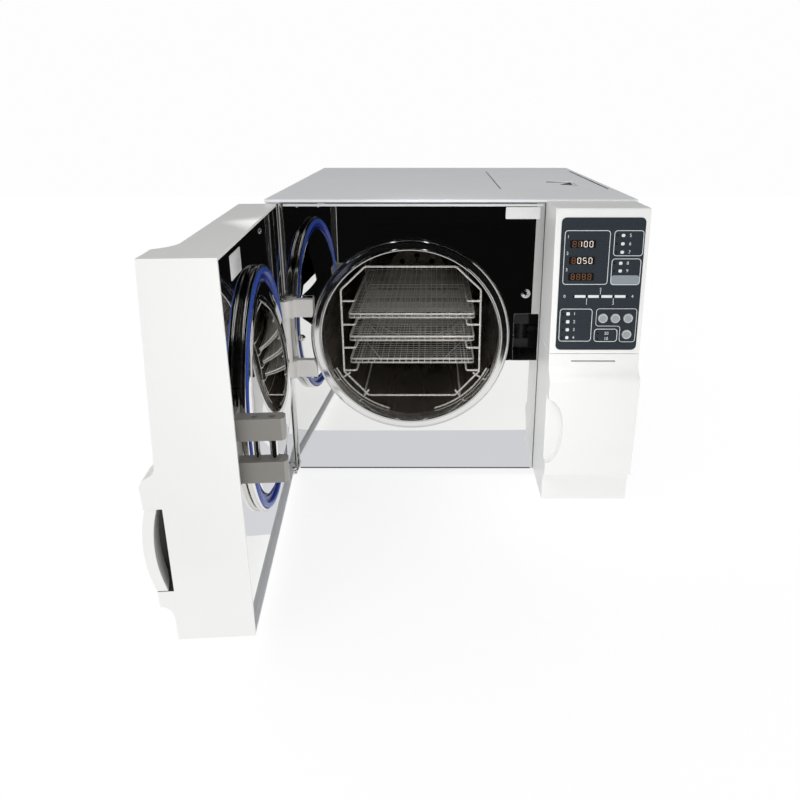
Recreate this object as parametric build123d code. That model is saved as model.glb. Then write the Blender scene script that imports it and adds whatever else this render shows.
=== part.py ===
from build123d import *
from math import atan2, cos, degrees, hypot, radians, sin, sqrt
import os

# Dental autoclave with a side-hinged front door, shown with the door open.
# Millimetres, +Z up, the front faces -Y. Places below are counted from the
# standing plane under the middle of the cabinet; the finished pieces are then
# moved so that the origin is under the middle of the whole outline, door open.

# Cabinet
CASE_W = 490.0
CASE_D = 536.0
CASE_H = 410.0
SHEET = 1.5
FOOT_H = 12.0
FOOT_R = 16.0
FOOT_X = 205.0
FOOT_Y = 215.0
LIP_D = 6.0
LIP_H = 3.5
LEFT_POST_W = 18.0
BULKHEAD_T = 2.5
PAN_FLANGE_H = 16.0
SEAT_GAP = 0.3

# Chamber
BORE_R = 123.5
VESSEL_WALL = 3.0
AXIS_FROM_LEFT = 190.0
AXIS_Z = 219.0
RING_R = 137.7
RING_PROUD = 8.0
RING_LEN = 25.0
RING_CHAMFER = 1.6
BARREL_LEN = 370.0
KNUCKLE_R = 25.0
CROWN_R = 240.0
HEATER_T = 2.0
HEATER_LEN = 250.0
LAGGING_T = 11.0
BAFFLE_R = 58.0
BAFFLE_T = 2.0

# Mirror front panel and latch mouth
PANEL_W = 351.0
MOUTH_W = 34.0
MOUTH_H = 68.0
MOUTH_DX = 161.0
SCREW_R = 6.4
PANEL_SCREW_DX = 158.8
PANEL_SCREW_DZ = 63.2
REAR_SCREW_R = 4.0
REAR_SCREW_IN = 12.0
REAR_SCREW_END = 18.0
CUT_SIDE = 20.0
CUT_LOW = 56.0
CUT_TOP = 38.5

# Door
HINGE_DX = 174.0
HINGE_DY = 14.0
DOOR_OPEN = 85.7
DOOR_TOP_GAP = 5.5
DOOR_BOTTOM = 18.0
DOOR_TAIL = 10.5
DOOR_GAP = 4.0
DOOR_WALL = 3.0
DOOR_STEP = 18.0
FLARE_START = 80.0
FLARE_RISE = 62.0
PANEL_SINK = 5.0
CUT_R = 11.5

# Shared front profile of door and column: thickness in front of the door's rim
T_TOP = 66.5
T_MID = 76.0
T_BAND = 92.0
T_BAND_LOW = 89.5
T_PLINTH = 76.5
Z_STEP_TOP = 212.0
Z_STEP_LOW = 190.0
Z_COVE_TOP = 58.0
Z_COVE_LOW = 43.0
EDGE_R = 3.0

# Pressure disc and gasket
DISC_R = 140.7
DISC_RIM_W = 3.0
DISC_RIM_H = 8.5
DISC_WALL = 3.0
GROOVE_IN_R = 121.0
DOME_H = 31.0
GASKET_IN_R = 123.6
GASKET_OUT_R = 136.9
GASKET_CLEAR = 0.3
STUD_R = 8.0

# Beam, yoke and hinge
BEAM_H = 48.0
BEAM_D = 20.0
BEAM_WALL = 3.0
YOKE_S = 332.0
YOKE_W = 16.0
JAW_H = 22.0
JAW_GAP = 22.0
JAW_REACH = 43.0
PIN_R = 4.0
STRIKER_OFF = 31.0
SPACER_OFF = 15.0
SPACER_R = 3.0
BARREL_R = 9.0
LUG_H = 25.0
LUG_GAP = 63.0
LUG_RIGHT = 40.0
BRACKET_T = 3.0
BRACKET_BOLT_DX = 21.5
BRACKET_BOLT_R = 5.0
RUN_CLEAR = 0.05

# Latch
HOOK_FROM_PIN = 24.0
DRUM_R = 11.0
DRUM_H = 21.4
EAR_H = 14.0
SHAFT_R = 3.0
CLAW_T = 9.0
CLAW_BAND = 4.4
CLAW_CLEAR = 0.6
CLAW_TURN = 65.0
LATCH_DEPTH = 64.0
LATCH_RIGHT = 17.0
LATCH_MOTOR_R = 18.0
LATCH_MOTOR_H = 60.0

# Column and controls
COLUMN_LEFT = 125.5
COLUMN_RIGHT = 241.0
COLUMN_BOTTOM = 14.0
COLUMN_WALL = 3.5
SEAM_Z = 225.5
SEAM_GAP = 0.6
FASCIA_W = 102.4
FASCIA_TOP_GAP = 11.0
FASCIA_LOW_GAP = 5.4
FASCIA_X = 184.4
FASCIA_T = 2.0
FASCIA_PROUD = 0.5
FASCIA_R = 6.0
BUTTON_R = 6.2
BUTTON_CLEAR = 0.25
BUTTON_PROUD = 1.6
BUTTON_TRAVEL = 1.5
BUTTON_DX = (6.6, 22.2, 38.4, 37.9)
BUTTON_UP = (-0.2515, -0.2515, -0.2515, -0.377)
WINDOW_DX = -24.3
WINDOW_W = 31.5
WINDOW_H = 9.2
WINDOW_UP = (0.308, 0.186, 0.066)
WINDOW_R = 1.0
WINDOW_T = 0.5
LENS_R = 1.1
LENS_H = 0.7
# Rows of lamps: first one across, first one up, step across, step up, count.
# Upward places on the fascia are shares of its height, counted from its middle.
LENS_ROWS = (
    (-32.2, -0.0834, 16.7, 0.0, 5),
    (-43.9, -0.2173, 0.0, -0.0618, 4),
    (17.1, 0.3709, 0.0, -0.0612, 3),
    (16.1, 0.1669, 0.0, -0.0576, 2),
    (1.1, -0.3697, 0.0, -0.042, 2),
)
SLOT_X = 182.6
SLOT_W = 57.0
SLOT_H = 1.6
SLOT_Z = 215.5

# Grip and scoop, one oval split by the gap between door and column
OVAL_Z = 122.0
OVAL_H = 92.0
NOTCH_W = 26.0
NOTCH_FLOOR = 74.0
SCOOP_W = 21.0
SCOOP_FLOOR = 74.0
GRIP_W = 17.0
GRIP_T = 11.0
GRIP_BOW = 8.0

# Water tank and lid
LID_X0 = 77.6
LID_X1 = 233.9
LID_Y0 = -142.0
LID_Y1 = 186.6
LID_T = 2.5
LID_GAP = 0.9
LID_REAR_GAP = 1.5
LID_AXIS_IN = 3.1
LID_AXIS_DOWN = 2.8
LID_PIN_R = 1.2
TANK_WALL = 3.0
TANK_Z0 = 300.0
TANK_TOP_GAP = 0.4

# Rack and trays
WIRE_R = 1.5
RACK_TOP_X = 63.5
RACK_SIDE_X = 98.5
RACK_TOP_Z = 96.5
RACK_SHOULDER_Z = 63.5
RACK_HIP_Z = -58.5
RACK_BOTTOM_Z = -96.0
RACK_FRONT_DY = 20.0
RACK_LEN = 360.0
RAIL_X = 80.0
RAIL_Z = (47.3, 12.6, -22.1, -56.8)
SKID_GAP = 0.3
TRAY_W = 186.0
TRAY_L = 330.0
TRAY_H = 9.0
TRAY_DY = 22.0
TRAY_FLOOR = 1.2
TRAY_WALL = 2.0
TRAY_NX = 10
TRAY_NY = 18
TRAY_BAR = 2.0

# Working parts behind the panels
PUMP_X = 170.0
PUMP_Y = -130.0
PUMP_R = 36.0
PUMP_LEN = 150.0
BOILER_X = 190.0
BOILER_Y = 110.0
BOILER_R = 42.0
BOILER_H = 130.0
PIPE_R = 5.0
BEND_R = 15.0
VALVE_COUNT = 4
VALVE_PITCH = 30.0
VALVE_Y = 15.0
BOARD_T = 1.6
BOARD_Y0 = -40.0
BOARD_LEN = 200.0
BOARD_Z0 = 150.0
BOARD_H = 112.0
BOARD_OFF = 8.0
BOARD_POST_R = 3.0
FAN_X = -150.0
FAN_DOWN = 110.0
FAN_SIZE = 120.0
FAN_T = 25.0
FAN_R = 56.0
HUB_R = 20.0
BLADES = 7
GRILLE_HOLE_R = 4.2
GRILLE_PITCH = 11.0
CONDENSER_T = 30.0
FINS = 16
INLET_X = 180.0
INLET_Z = 70.0
INLET_W = 48.0
INLET_H = 28.0
SWITCH_X = 125.0
SWITCH_W = 22.0
SWITCH_H = 30.0
PORT_X = (-190.0, -150.0)
PORT_Z = 60.0
PORT_R = 7.0
PORT_IN = 22.0
SAFETY_X = 20.0
SAFETY_DOWN = 50.0
SAFETY_R = 9.0

# Places that follow from the sizes above
X_LEFT = -CASE_W / 2
X_RIGHT = CASE_W / 2
Y_FRONT = -CASE_D / 2
Y_BACK = CASE_D / 2
PANEL_Y = Y_FRONT + LIP_D
AXIS_X = X_LEFT + AXIS_FROM_LEFT
PAN_TOP = FOOT_H + SHEET
BULKHEAD_Y = PANEL_Y + SHEET
INSIDE_Y = BULKHEAD_Y + BULKHEAD_T
HINGE_X = AXIS_X - HINGE_DX
RIM_Y = PANEL_Y - HINGE_DY
DOOR_RIGHT = COLUMN_LEFT - DOOR_GAP
DOOR_LEN = DOOR_RIGHT - HINGE_X
MOUTH_X = AXIS_X + MOUTH_DX
STRIKER_X = HINGE_X + YOKE_S
STRIKER_Y = RIM_Y + STRIKER_OFF
HOOK_Y = STRIKER_Y + HOOK_FROM_PIN
RING_FRONT_Y = PANEL_Y - RING_PROUD
VESSEL_Y0 = RING_FRONT_Y + RING_LEN
VESSEL_R = BORE_R + VESSEL_WALL
HEATER_R = VESSEL_R + 0.2
LAGGING_IN_R = HEATER_R + HEATER_T + SEAT_GAP
LAGGING_R = LAGGING_IN_R + LAGGING_T
VESSEL_Y1 = VESSEL_Y0 + BARREL_LEN
DOOR_TOP = CASE_H - DOOR_TOP_GAP
COLUMN_TOP = CASE_H - SHEET
FASCIA_H = COLUMN_TOP - FASCIA_TOP_GAP - SEAM_Z - FASCIA_LOW_GAP
FASCIA_Z = SEAM_Z + FASCIA_LOW_GAP + FASCIA_H / 2
BUTTON_PLACES = [(FASCIA_X + dx, FASCIA_Z + up * FASCIA_H) for dx, up in zip(BUTTON_DX, BUTTON_UP)]
FAN_Z = CASE_H - FAN_DOWN
SAFETY_Z = CASE_H - SAFETY_DOWN
FACE_LEAN = atan2(T_MID - T_TOP, COLUMN_TOP - Z_STEP_TOP)
HINGE = Axis((HINGE_X, RIM_Y, 0), (0, 0, 1))


def box(x0, x1, y0, y1, z0, z1):
    """A block between two corners."""
    return Pos((x0 + x1) / 2, (y0 + y1) / 2, (z0 + z1) / 2) * Box(x1 - x0, y1 - y0, z1 - z0)


def rod_x(x0, x1, y, z, r):
    """A round bar along X."""
    return Pos((x0 + x1) / 2, y, z) * Rot(0, 90, 0) * Cylinder(r, x1 - x0)


def rod_y(x, y0, y1, z, r):
    """A round bar along Y."""
    return Pos(x, (y0 + y1) / 2, z) * Rot(90, 0, 0) * Cylinder(r, y1 - y0)


def rod_z(x, y, z0, z1, r):
    """A round bar along Z."""
    return Pos(x, y, (z0 + z1) / 2) * Cylinder(r, z1 - z0)


def bar(a, b, r):
    """A round bar between two points."""
    a = Vector(*a)
    b = Vector(*b)
    span = b - a
    return Plane(origin=a + span * 0.5, z_dir=span) * Cylinder(r, span.length)


def ring_y(x, z, r_in, r_out, y0, y1):
    """A plain ring about an axis along Y."""
    return rod_y(x, y0, y1, z, r_out) - rod_y(x, y0 - 1, y1 + 1, z, r_in)


def turned(points):
    """A solid turned about the chamber's axis from (radius, y) points."""
    outline = Polyline(*[(r, y) for r, y in points], close=True)
    return on_chamber_axis(make_face(outline))


def on_chamber_axis(face):
    """Turn a (radius, y) face about the chamber's axis."""
    return Pos(AXIS_X, 0, AXIS_Z) * revolve(face, Axis.Y)


def opened(shape):
    """Swing a door piece from its closed place to its resting place."""
    return shape.rotate(HINGE, -DOOR_OPEN)


def lean_t(z):
    """Thickness of the leaning upper face at a height."""
    return T_MID - (T_MID - T_TOP) * (z - Z_STEP_TOP) / (COLUMN_TOP - Z_STEP_TOP)


def front_face(inset, z0, z1, back_y):
    """The side view of the shared front, drawn in YZ, moved in by a wall."""
    def at(t, z):
        return (0, RIM_Y - t + inset, z)

    step_h = Z_STEP_TOP - Z_STEP_LOW
    edges = [
        Line(at(lean_t(z1), z1), at(T_MID, Z_STEP_TOP)),
        Bezier(at(T_MID, Z_STEP_TOP), at(T_MID, Z_STEP_TOP - step_h * 0.62),
               at(T_BAND, Z_STEP_LOW + step_h * 0.62), at(T_BAND, Z_STEP_LOW)),
        Line(at(T_BAND, Z_STEP_LOW), at(T_BAND_LOW, Z_COVE_TOP)),
        Bezier(at(T_BAND_LOW, Z_COVE_TOP), at(T_PLINTH + 3, Z_COVE_TOP),
               at(T_PLINTH, Z_COVE_LOW + 5), at(T_PLINTH, Z_COVE_LOW)),
        Line(at(T_PLINTH, Z_COVE_LOW), at(T_PLINTH, z0)),
        Line(at(T_PLINTH, z0), (0, back_y, z0)),
        Line((0, back_y, z0), (0, back_y, z1)),
        Line((0, back_y, z1), at(lean_t(z1), z1)),
    ]
    return Face(Wire(edges))


def front_prism(inset, x0, x1, z0, z1, back_y):
    """The shared front pulled along X."""
    return Pos(x0, 0, 0) * extrude(front_face(inset, z0, z1, back_y), amount=x1 - x0, dir=(1, 0, 0))


def oval(x, w, y0, y1, grow=0.0):
    """An upright oval pulled along Y, for the grip notch and the scoop."""
    sketch = Plane.XZ * Ellipse(w + grow, OVAL_H / 2 + grow)
    return Pos(x, y1, OVAL_Z) * extrude(sketch, amount=y1 - y0, dir=(0, -1, 0))


def base_pan():
    x = X_RIGHT - SHEET - 0.5
    y0 = INSIDE_Y
    y1 = Y_BACK - SHEET
    outer = box(-x, x, y0, y1, FOOT_H, FOOT_H + PAN_FLANGE_H)
    inner = box(-x + SHEET, x - SHEET, y0 + SHEET, y1 - SHEET, PAN_TOP, CASE_H)
    return outer - inner


def feet():
    one = Cylinder(FOOT_R, FOOT_H)
    one = chamfer(one.edges().sort_by(Axis.Z)[0], 1.5)
    return [Pos(x, y, FOOT_H / 2) * one for x in (-FOOT_X, FOOT_X) for y in (-FOOT_Y, FOOT_Y)]


def top_cover():
    top = box(X_LEFT, X_RIGHT, Y_FRONT, Y_BACK - SHEET, CASE_H - SHEET, CASE_H)
    lip = box(X_LEFT, X_RIGHT, Y_FRONT, Y_FRONT + SHEET, CASE_H - LIP_H, CASE_H)
    cut = box(LID_X0 - LID_GAP, LID_X1 + LID_GAP, LID_Y0 - LID_GAP, LID_Y1 + LID_REAR_GAP,
              CASE_H - 2 * SHEET, CASE_H + 1)
    shape = fillet((top + lip).edges().filter_by(Axis.X).sort_by(Axis.Z)[-2:].sort_by(Axis.Y)[0], 1.2)
    shape = shape - cut
    axis_y = LID_Y1 - LID_AXIS_IN
    axis_z = CASE_H - LID_AXIS_DOWN
    for x0, x1 in ((LID_X0 - LID_GAP - 7, LID_X0 - LID_GAP), (LID_X1 + LID_GAP, LID_X1 + LID_GAP + 7)):
        lug = box(x0, x1, axis_y - 5, axis_y + 5, axis_z - 4, CASE_H - SHEET)
        shape = shape + (lug - rod_x(x0 - 1, x1 + 1, axis_y, axis_z, LID_PIN_R + RUN_CLEAR))
    return shape


def side_panel(side):
    """One side of the casing; the left one has the wide front post."""
    x_out = side * X_RIGHT
    x_in = side * (X_RIGHT - SHEET)
    z1 = CASE_H - SHEET
    wall = box(min(x_out, x_in), max(x_out, x_in), PANEL_Y, Y_BACK - SHEET, FOOT_H, z1)
    post_x = side * (X_RIGHT - LEFT_POST_W)
    post = box(min(x_out, post_x), max(x_out, post_x), PANEL_Y, BULKHEAD_Y, FOOT_H, z1 - 0.2)
    return wall + post


def rear_panel():
    plate = box(X_LEFT, X_RIGHT, Y_BACK - SHEET, Y_BACK, FOOT_H, CASE_H)
    for x, z in grille_holes():
        plate = plate - rod_y(x, Y_BACK - 3, Y_BACK + 1, z, GRILLE_HOLE_R)
    y0 = Y_BACK - 3
    y1 = Y_BACK + 1
    plate = plate - box(INLET_X - INLET_W / 2, INLET_X + INLET_W / 2, y0, y1,
                        INLET_Z - INLET_H / 2, INLET_Z + INLET_H / 2)
    plate = plate - box(SWITCH_X - SWITCH_W / 2, SWITCH_X + SWITCH_W / 2, y0, y1,
                        INLET_Z - SWITCH_H / 2, INLET_Z + SWITCH_H / 2)
    for x in PORT_X:
        plate = plate - rod_y(x, y0, y1, PORT_Z, PORT_R)
    return plate - rod_y(SAFETY_X, y0, y1, SAFETY_Z, SAFETY_R)


def grille_holes():
    """Centres of the fan grille's holes, in rows of a honeycomb."""
    rows = int(FAN_R / GRILLE_PITCH)
    spots = []
    for row in range(-rows, rows + 1):
        z = row * GRILLE_PITCH * sin(radians(60))
        for col in range(-rows - 1, rows + 2):
            x = (col + 0.5 * (row % 2)) * GRILLE_PITCH
            if hypot(x, z) < FAN_R - GRILLE_HOLE_R:
                spots.append((FAN_X + x, FAN_Z + z))
    return spots


def mouth(y0, y1, grow=0.0):
    """The latch mouth as a block to cut with."""
    return box(MOUTH_X - MOUTH_W / 2 - grow, MOUTH_X + MOUTH_W / 2 + grow, y0, y1,
               AXIS_Z - MOUTH_H / 2 - grow, AXIS_Z + MOUTH_H / 2 + grow)


def front_bulkhead():
    x = X_RIGHT - SHEET - 0.5
    plate = box(-x, x, BULKHEAD_Y, INSIDE_Y, FOOT_H, CASE_H - SHEET - 0.5)
    plate = plate - rod_y(AXIS_X, PANEL_Y, INSIDE_Y + 1, AXIS_Z, RING_R + SEAT_GAP)
    plate = plate - mouth(PANEL_Y, INSIDE_Y + 1, 0.5)
    window = box(COLUMN_LEFT + CUT_SIDE, COLUMN_RIGHT - CUT_SIDE, PANEL_Y, INSIDE_Y + 1,
                 COLUMN_BOTTOM + CUT_LOW, COLUMN_TOP - CUT_TOP)
    return plate - window


def mirror_front_panel():
    x0 = X_LEFT + LEFT_POST_W + 0.5
    plate = box(x0, x0 + PANEL_W, PANEL_Y, BULKHEAD_Y, FOOT_H + 0.5, CASE_H - SHEET - 3.5)
    plate = plate - rod_y(AXIS_X, PANEL_Y - 1, INSIDE_Y, AXIS_Z, RING_R + 0.8)
    return plate - mouth(PANEL_Y - 1, INSIDE_Y)


def column_solid(inset):
    """The column as one block; a wall's inset gives its hollow."""
    z0 = COLUMN_BOTTOM + inset
    z1 = COLUMN_TOP - inset
    back = PANEL_Y - SEAT_GAP + (5 if inset else 0)
    shape = front_prism(inset, COLUMN_LEFT + inset, COLUMN_RIGHT - inset, z0, z1, back)
    scoop = oval(COLUMN_LEFT, SCOOP_W, RIM_Y - 120, RIM_Y - SCOOP_FLOOR + inset, inset)
    if not inset:
        edges = shape.edges().filter_by(Axis.X).group_by(Axis.Z)[-1].sort_by(Axis.Y)
        shape = fillet(edges[0], EDGE_R)
    return shape - scoop


def column_shell():
    shell = column_solid(0) - column_solid(COLUMN_WALL)
    over_lip = box(COLUMN_LEFT - 1, COLUMN_RIGHT + 1, Y_FRONT - SEAT_GAP, PANEL_Y + 1,
                   CASE_H - LIP_H - SEAT_GAP, CASE_H)
    return shell - over_lip


def face_plane(x, z):
    """A plane on the leaning face: x across, y up the face, z out of it."""
    y = RIM_Y - lean_t(z)
    return Plane(origin=(x, y, z), x_dir=(1, 0, 0), z_dir=(0, -cos(FACE_LEAN), sin(FACE_LEAN)))


def on_face(shape, x, z, out=0.0):
    """Place a shape drawn flat on the leaning face."""
    return face_plane(x, z) * Pos(0, 0, out) * shape


def fascia_slab(grow, out0, out1):
    """The fascia's rounded slab between two heights over the face."""
    sketch = RectangleRounded(FASCIA_W + grow, FASCIA_H + grow, FASCIA_R)
    return on_face(extrude(sketch, amount=out1 - out0), FASCIA_X, FASCIA_Z, out0)


def control_head():
    shell = column_shell() & box(0, CASE_W, Y_FRONT * 2, 0, SEAM_Z + SEAM_GAP / 2, CASE_H)
    shell = shell - fascia_slab(SEAT_GAP, -FASCIA_T + FASCIA_PROUD, 5)
    for x, z in BUTTON_PLACES:
        shell = shell - on_face(Cylinder(BUTTON_R + 0.5, 20), x, z)
    return shell


def column_lower_cover():
    shell = column_shell() & box(0, CASE_W, Y_FRONT * 2, 0, 0, SEAM_Z - SEAM_GAP / 2)
    y = RIM_Y - T_MID
    return shell - box(SLOT_X - SLOT_W / 2, SLOT_X + SLOT_W / 2, y - 5, y + 10,
                       SLOT_Z - SLOT_H / 2, SLOT_Z + SLOT_H / 2)


def control_fascia():
    slab = fascia_slab(0, -FASCIA_T + FASCIA_PROUD, FASCIA_PROUD)
    for x, z in BUTTON_PLACES:
        slab = slab - on_face(Cylinder(BUTTON_R + BUTTON_CLEAR, 20), x, z)
    return slab


def display_windows():
    pane = extrude(RectangleRounded(WINDOW_W, WINDOW_H, WINDOW_R), amount=WINDOW_T)
    return [on_face(pane, FASCIA_X + WINDOW_DX, FASCIA_Z + up * FASCIA_H, FASCIA_PROUD) for up in WINDOW_UP]


def lens_places():
    """Centres of the small lamps on the fascia, by group."""
    spots = []
    for dx, up, step_x, step_up, count in LENS_ROWS:
        for i in range(count):
            spots.append((FASCIA_X + dx + i * step_x, FASCIA_Z + (up + i * step_up) * FASCIA_H))
    return spots


def indicator_lenses():
    lens = Pos(0, 0, LENS_H / 2) * Cylinder(LENS_R, LENS_H)
    return [on_face(lens, x, z, FASCIA_PROUD) for x, z in lens_places()]


def button(index):
    """One push button, its cap through the fascia and a flange behind the head."""
    neck_low = -COLUMN_WALL - SEAT_GAP
    cap_h = FASCIA_PROUD + BUTTON_PROUD - neck_low
    cap = Pos(0, 0, neck_low + cap_h / 2) * Cylinder(BUTTON_R, cap_h)
    cap = fillet(cap.edges().sort_by(Axis.Z)[-1], 0.8)
    flange = Pos(0, 0, neck_low - 0.8) * Cylinder(BUTTON_R + 1.4, 1.6)
    return on_face(cap + flange, *BUTTON_PLACES[index])


def control_board():
    post_top = -COLUMN_WALL
    board_top = post_top - 7.0
    w = FASCIA_W - 8
    h = FASCIA_H - 8
    board = Pos(0, 0, board_top - BOARD_T / 2) * Box(w, h, BOARD_T)
    for sx in (-1, 1):
        for sy in (-1, 1):
            post = Cylinder(3, post_top - board_top)
            board = board + Pos(sx * (w / 2 - 5), sy * (h / 2 - 5), (post_top + board_top) / 2) * post
    shape = on_face(board, FASCIA_X, FASCIA_Z)
    stem_top = -COLUMN_WALL - SEAT_GAP - 1.6 - BUTTON_TRAVEL - SEAT_GAP
    for x, z in BUTTON_PLACES:
        stem = Pos(0, 0, (stem_top + board_top) / 2) * Cylinder(2, stem_top - board_top)
        shape = shape + on_face(stem, x, z)
    return shape


def printer_module():
    y0 = RIM_Y - lean_t(SLOT_Z + 7) + COLUMN_WALL + SEAT_GAP
    body = box(SLOT_X - SLOT_W / 2 - 4, SLOT_X + SLOT_W / 2 + 4, y0, y0 + 55, SLOT_Z - 28, SLOT_Z + 7)
    throat = box(SLOT_X - SLOT_W / 2, SLOT_X + SLOT_W / 2, y0 - 1, y0 + 12,
                 SLOT_Z - SLOT_H / 2, SLOT_Z + SLOT_H / 2)
    shelf = box(SLOT_X - 40, SLOT_X + 40, y0 + 20, PANEL_Y + SHEET, SLOT_Z - 30, SLOT_Z - 28)
    return body - throat + shelf


def dish_edges(r, y0, knuckle, crown):
    """A dished end from the barrel's radius to the axis, as two tangent arcs."""
    side = r - knuckle
    rise = sqrt((crown - knuckle) ** 2 - side ** 2)
    centre_y = y0 - rise
    touch = (crown * side / (crown - knuckle), centre_y + crown * rise / (crown - knuckle))
    mid = atan2(rise, side) / 2
    knuckle_mid = (side + knuckle * cos(mid), y0 + knuckle * sin(mid))
    half = (atan2(side, rise)) / 2
    crown_mid = (crown * sin(half), centre_y + crown * cos(half))
    apex = (0, centre_y + crown)
    return [ThreePointArc((r, y0), knuckle_mid, touch), ThreePointArc(touch, crown_mid, apex)], apex


def chamber_vessel():
    inner, apex_in = dish_edges(BORE_R, VESSEL_Y1, KNUCKLE_R, CROWN_R)
    outer, apex_out = dish_edges(VESSEL_R, VESSEL_Y1, KNUCKLE_R + VESSEL_WALL, CROWN_R + VESSEL_WALL)
    edges = [
        Line((BORE_R, VESSEL_Y0), (BORE_R, VESSEL_Y1)),
        *inner,
        Line(apex_in, apex_out),
        *outer,
        Line((VESSEL_R, VESSEL_Y1), (VESSEL_R, VESSEL_Y0)),
        Line((VESSEL_R, VESSEL_Y0), (BORE_R, VESSEL_Y0)),
    ]
    return on_chamber_axis(Face(Wire(edges)))


def dish_apex():
    """Where the inside of the dished end crosses the axis."""
    return dish_edges(BORE_R, VESSEL_Y1, KNUCKLE_R, CROWN_R)[1][1]


LAGGING_BACK_Y = dish_apex() + VESSEL_WALL + SEAT_GAP + LAGGING_T


def chamber_ring():
    c = RING_CHAMFER
    y0 = RING_FRONT_Y
    return turned([(BORE_R, y0 + c), (BORE_R + c, y0), (RING_R - c, y0), (RING_R, y0 + c),
                   (RING_R, VESSEL_Y0), (BORE_R, VESSEL_Y0)])


def band_heater():
    y0 = VESSEL_Y0 + 60
    return ring_y(AXIS_X, AXIS_Z, HEATER_R, HEATER_R + HEATER_T, y0, y0 + HEATER_LEN)


def chamber_insulation():
    y0 = VESSEL_Y0 + 2
    cup = rod_y(AXIS_X, y0, LAGGING_BACK_Y, AXIS_Z, LAGGING_R)
    return cup - rod_y(AXIS_X, y0 - 1, LAGGING_BACK_Y - LAGGING_T, AXIS_Z, LAGGING_IN_R)


def chamber_cradle():
    """Two saddles that carry the lagged vessel on the base pan."""
    saddles = []
    for y in (VESSEL_Y0 + 95, VESSEL_Y1 - 65):
        plate = box(AXIS_X - 115, AXIS_X + 115, y - 2, y + 2, PAN_TOP, AXIS_Z - 85)
        plate = plate - rod_y(AXIS_X, y - 3, y + 3, AXIS_Z, LAGGING_R + SEAT_GAP)
        foot = box(AXIS_X - 115, AXIS_X + 115, y - 2, y + 20, PAN_TOP, PAN_TOP + 2)
        saddles.append(plate + foot)
    return saddles


def steam_baffle():
    y0 = VESSEL_Y1 + 2
    disc = rod_y(AXIS_X, y0, y0 + BAFFLE_T, AXIS_Z, BAFFLE_R)
    for i in range(8):
        a = radians(45 * i)
        disc = disc - rod_y(AXIS_X + 40 * cos(a), y0 - 1, y0 + 5, AXIS_Z + 40 * sin(a), 5)
    boss = rod_y(AXIS_X, y0, dish_apex() - SEAT_GAP - 0.15, AXIS_Z, 8)
    probe = rod_y(AXIS_X, y0 - 20, y0, AXIS_Z + 31, 2.2)
    return disc + boss + probe


def latch_frame():
    x0 = MOUTH_X - MOUTH_W / 2 - SHEET
    x1 = MOUTH_X + MOUTH_W / 2 + LATCH_RIGHT
    z0 = AXIS_Z - MOUTH_H / 2 - 5
    z1 = AXIS_Z + MOUTH_H / 2 + 5
    y0 = INSIDE_Y
    y1 = y0 + LATCH_DEPTH
    shape = box(x0, x1, y0, y1, z0, z1) - box(x0 + SHEET, x1 - SHEET, y0 - 1, y1 - SHEET,
                                              z0 + SHEET, z1 - SHEET)
    half = DRUM_H / 2 + SEAT_GAP
    for z_low, z_high in ((AXIS_Z + half, AXIS_Z + half + EAR_H), (AXIS_Z - half - EAR_H, AXIS_Z - half)):
        shape = shape + box(STRIKER_X - DRUM_R, STRIKER_X + DRUM_R, HOOK_Y - DRUM_R, y1 - SHEET / 2,
                            z_low, z_high)
    return shape - rod_z(STRIKER_X, HOOK_Y, z0 - 1, AXIS_Z + half + EAR_H + 1, SHAFT_R + RUN_CLEAR)


def latch_hook():
    """Drum, shaft and claw, turned clear of the striker pin."""
    r_in = HOOK_FROM_PIN + PIN_R + CLAW_CLEAR
    r_out = r_in + CLAW_BAND
    drum = rod_z(0, 0, AXIS_Z - DRUM_H / 2, AXIS_Z + DRUM_H / 2, DRUM_R)
    shaft_low = AXIS_Z - MOUTH_H / 2 - 5 - 8
    shaft = rod_z(0, 0, shaft_low, AXIS_Z + DRUM_H / 2 + EAR_H, SHAFT_R)

    def sector(r0, r1, a0, a1):
        arc0 = CenterArc((0, 0), r1, a0, a1 - a0)
        arc1 = CenterArc((0, 0), r0, a0, a1 - a0)
        face = make_face([arc0, Line(arc0 @ 1, arc1 @ 1), arc1, Line(arc1 @ 0, arc0 @ 0)])
        return Pos(0, 0, AXIS_Z - CLAW_T / 2) * extrude(face, amount=CLAW_T)

    finger = sector(r_in, r_out, 255, 312)
    arm = sector(DRUM_R - 2, r_out, 298, 312)
    hook = drum + shaft + finger + arm
    return Pos(STRIKER_X, HOOK_Y, 0) * Rot(0, 0, CLAW_TURN) * hook


def latch_motor():
    top = AXIS_Z - MOUTH_H / 2 - 5
    body = rod_z(STRIKER_X, HOOK_Y, top - LATCH_MOTOR_H, top, LATCH_MOTOR_R)
    gearbox = box(STRIKER_X - 20, STRIKER_X + 20, HOOK_Y - 20, HOOK_Y + 20, top - 20, top)
    bore = rod_z(STRIKER_X, HOOK_Y, top - 10, top + 1, SHAFT_R + RUN_CLEAR)
    return body + gearbox - bore


def lug_spans():
    """Height ranges of the two body lugs that hold the hinge pin."""
    low = AXIS_Z - LUG_GAP / 2
    high = AXIS_Z + LUG_GAP / 2
    return ((high, high + LUG_H), (low - LUG_H, low))


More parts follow.
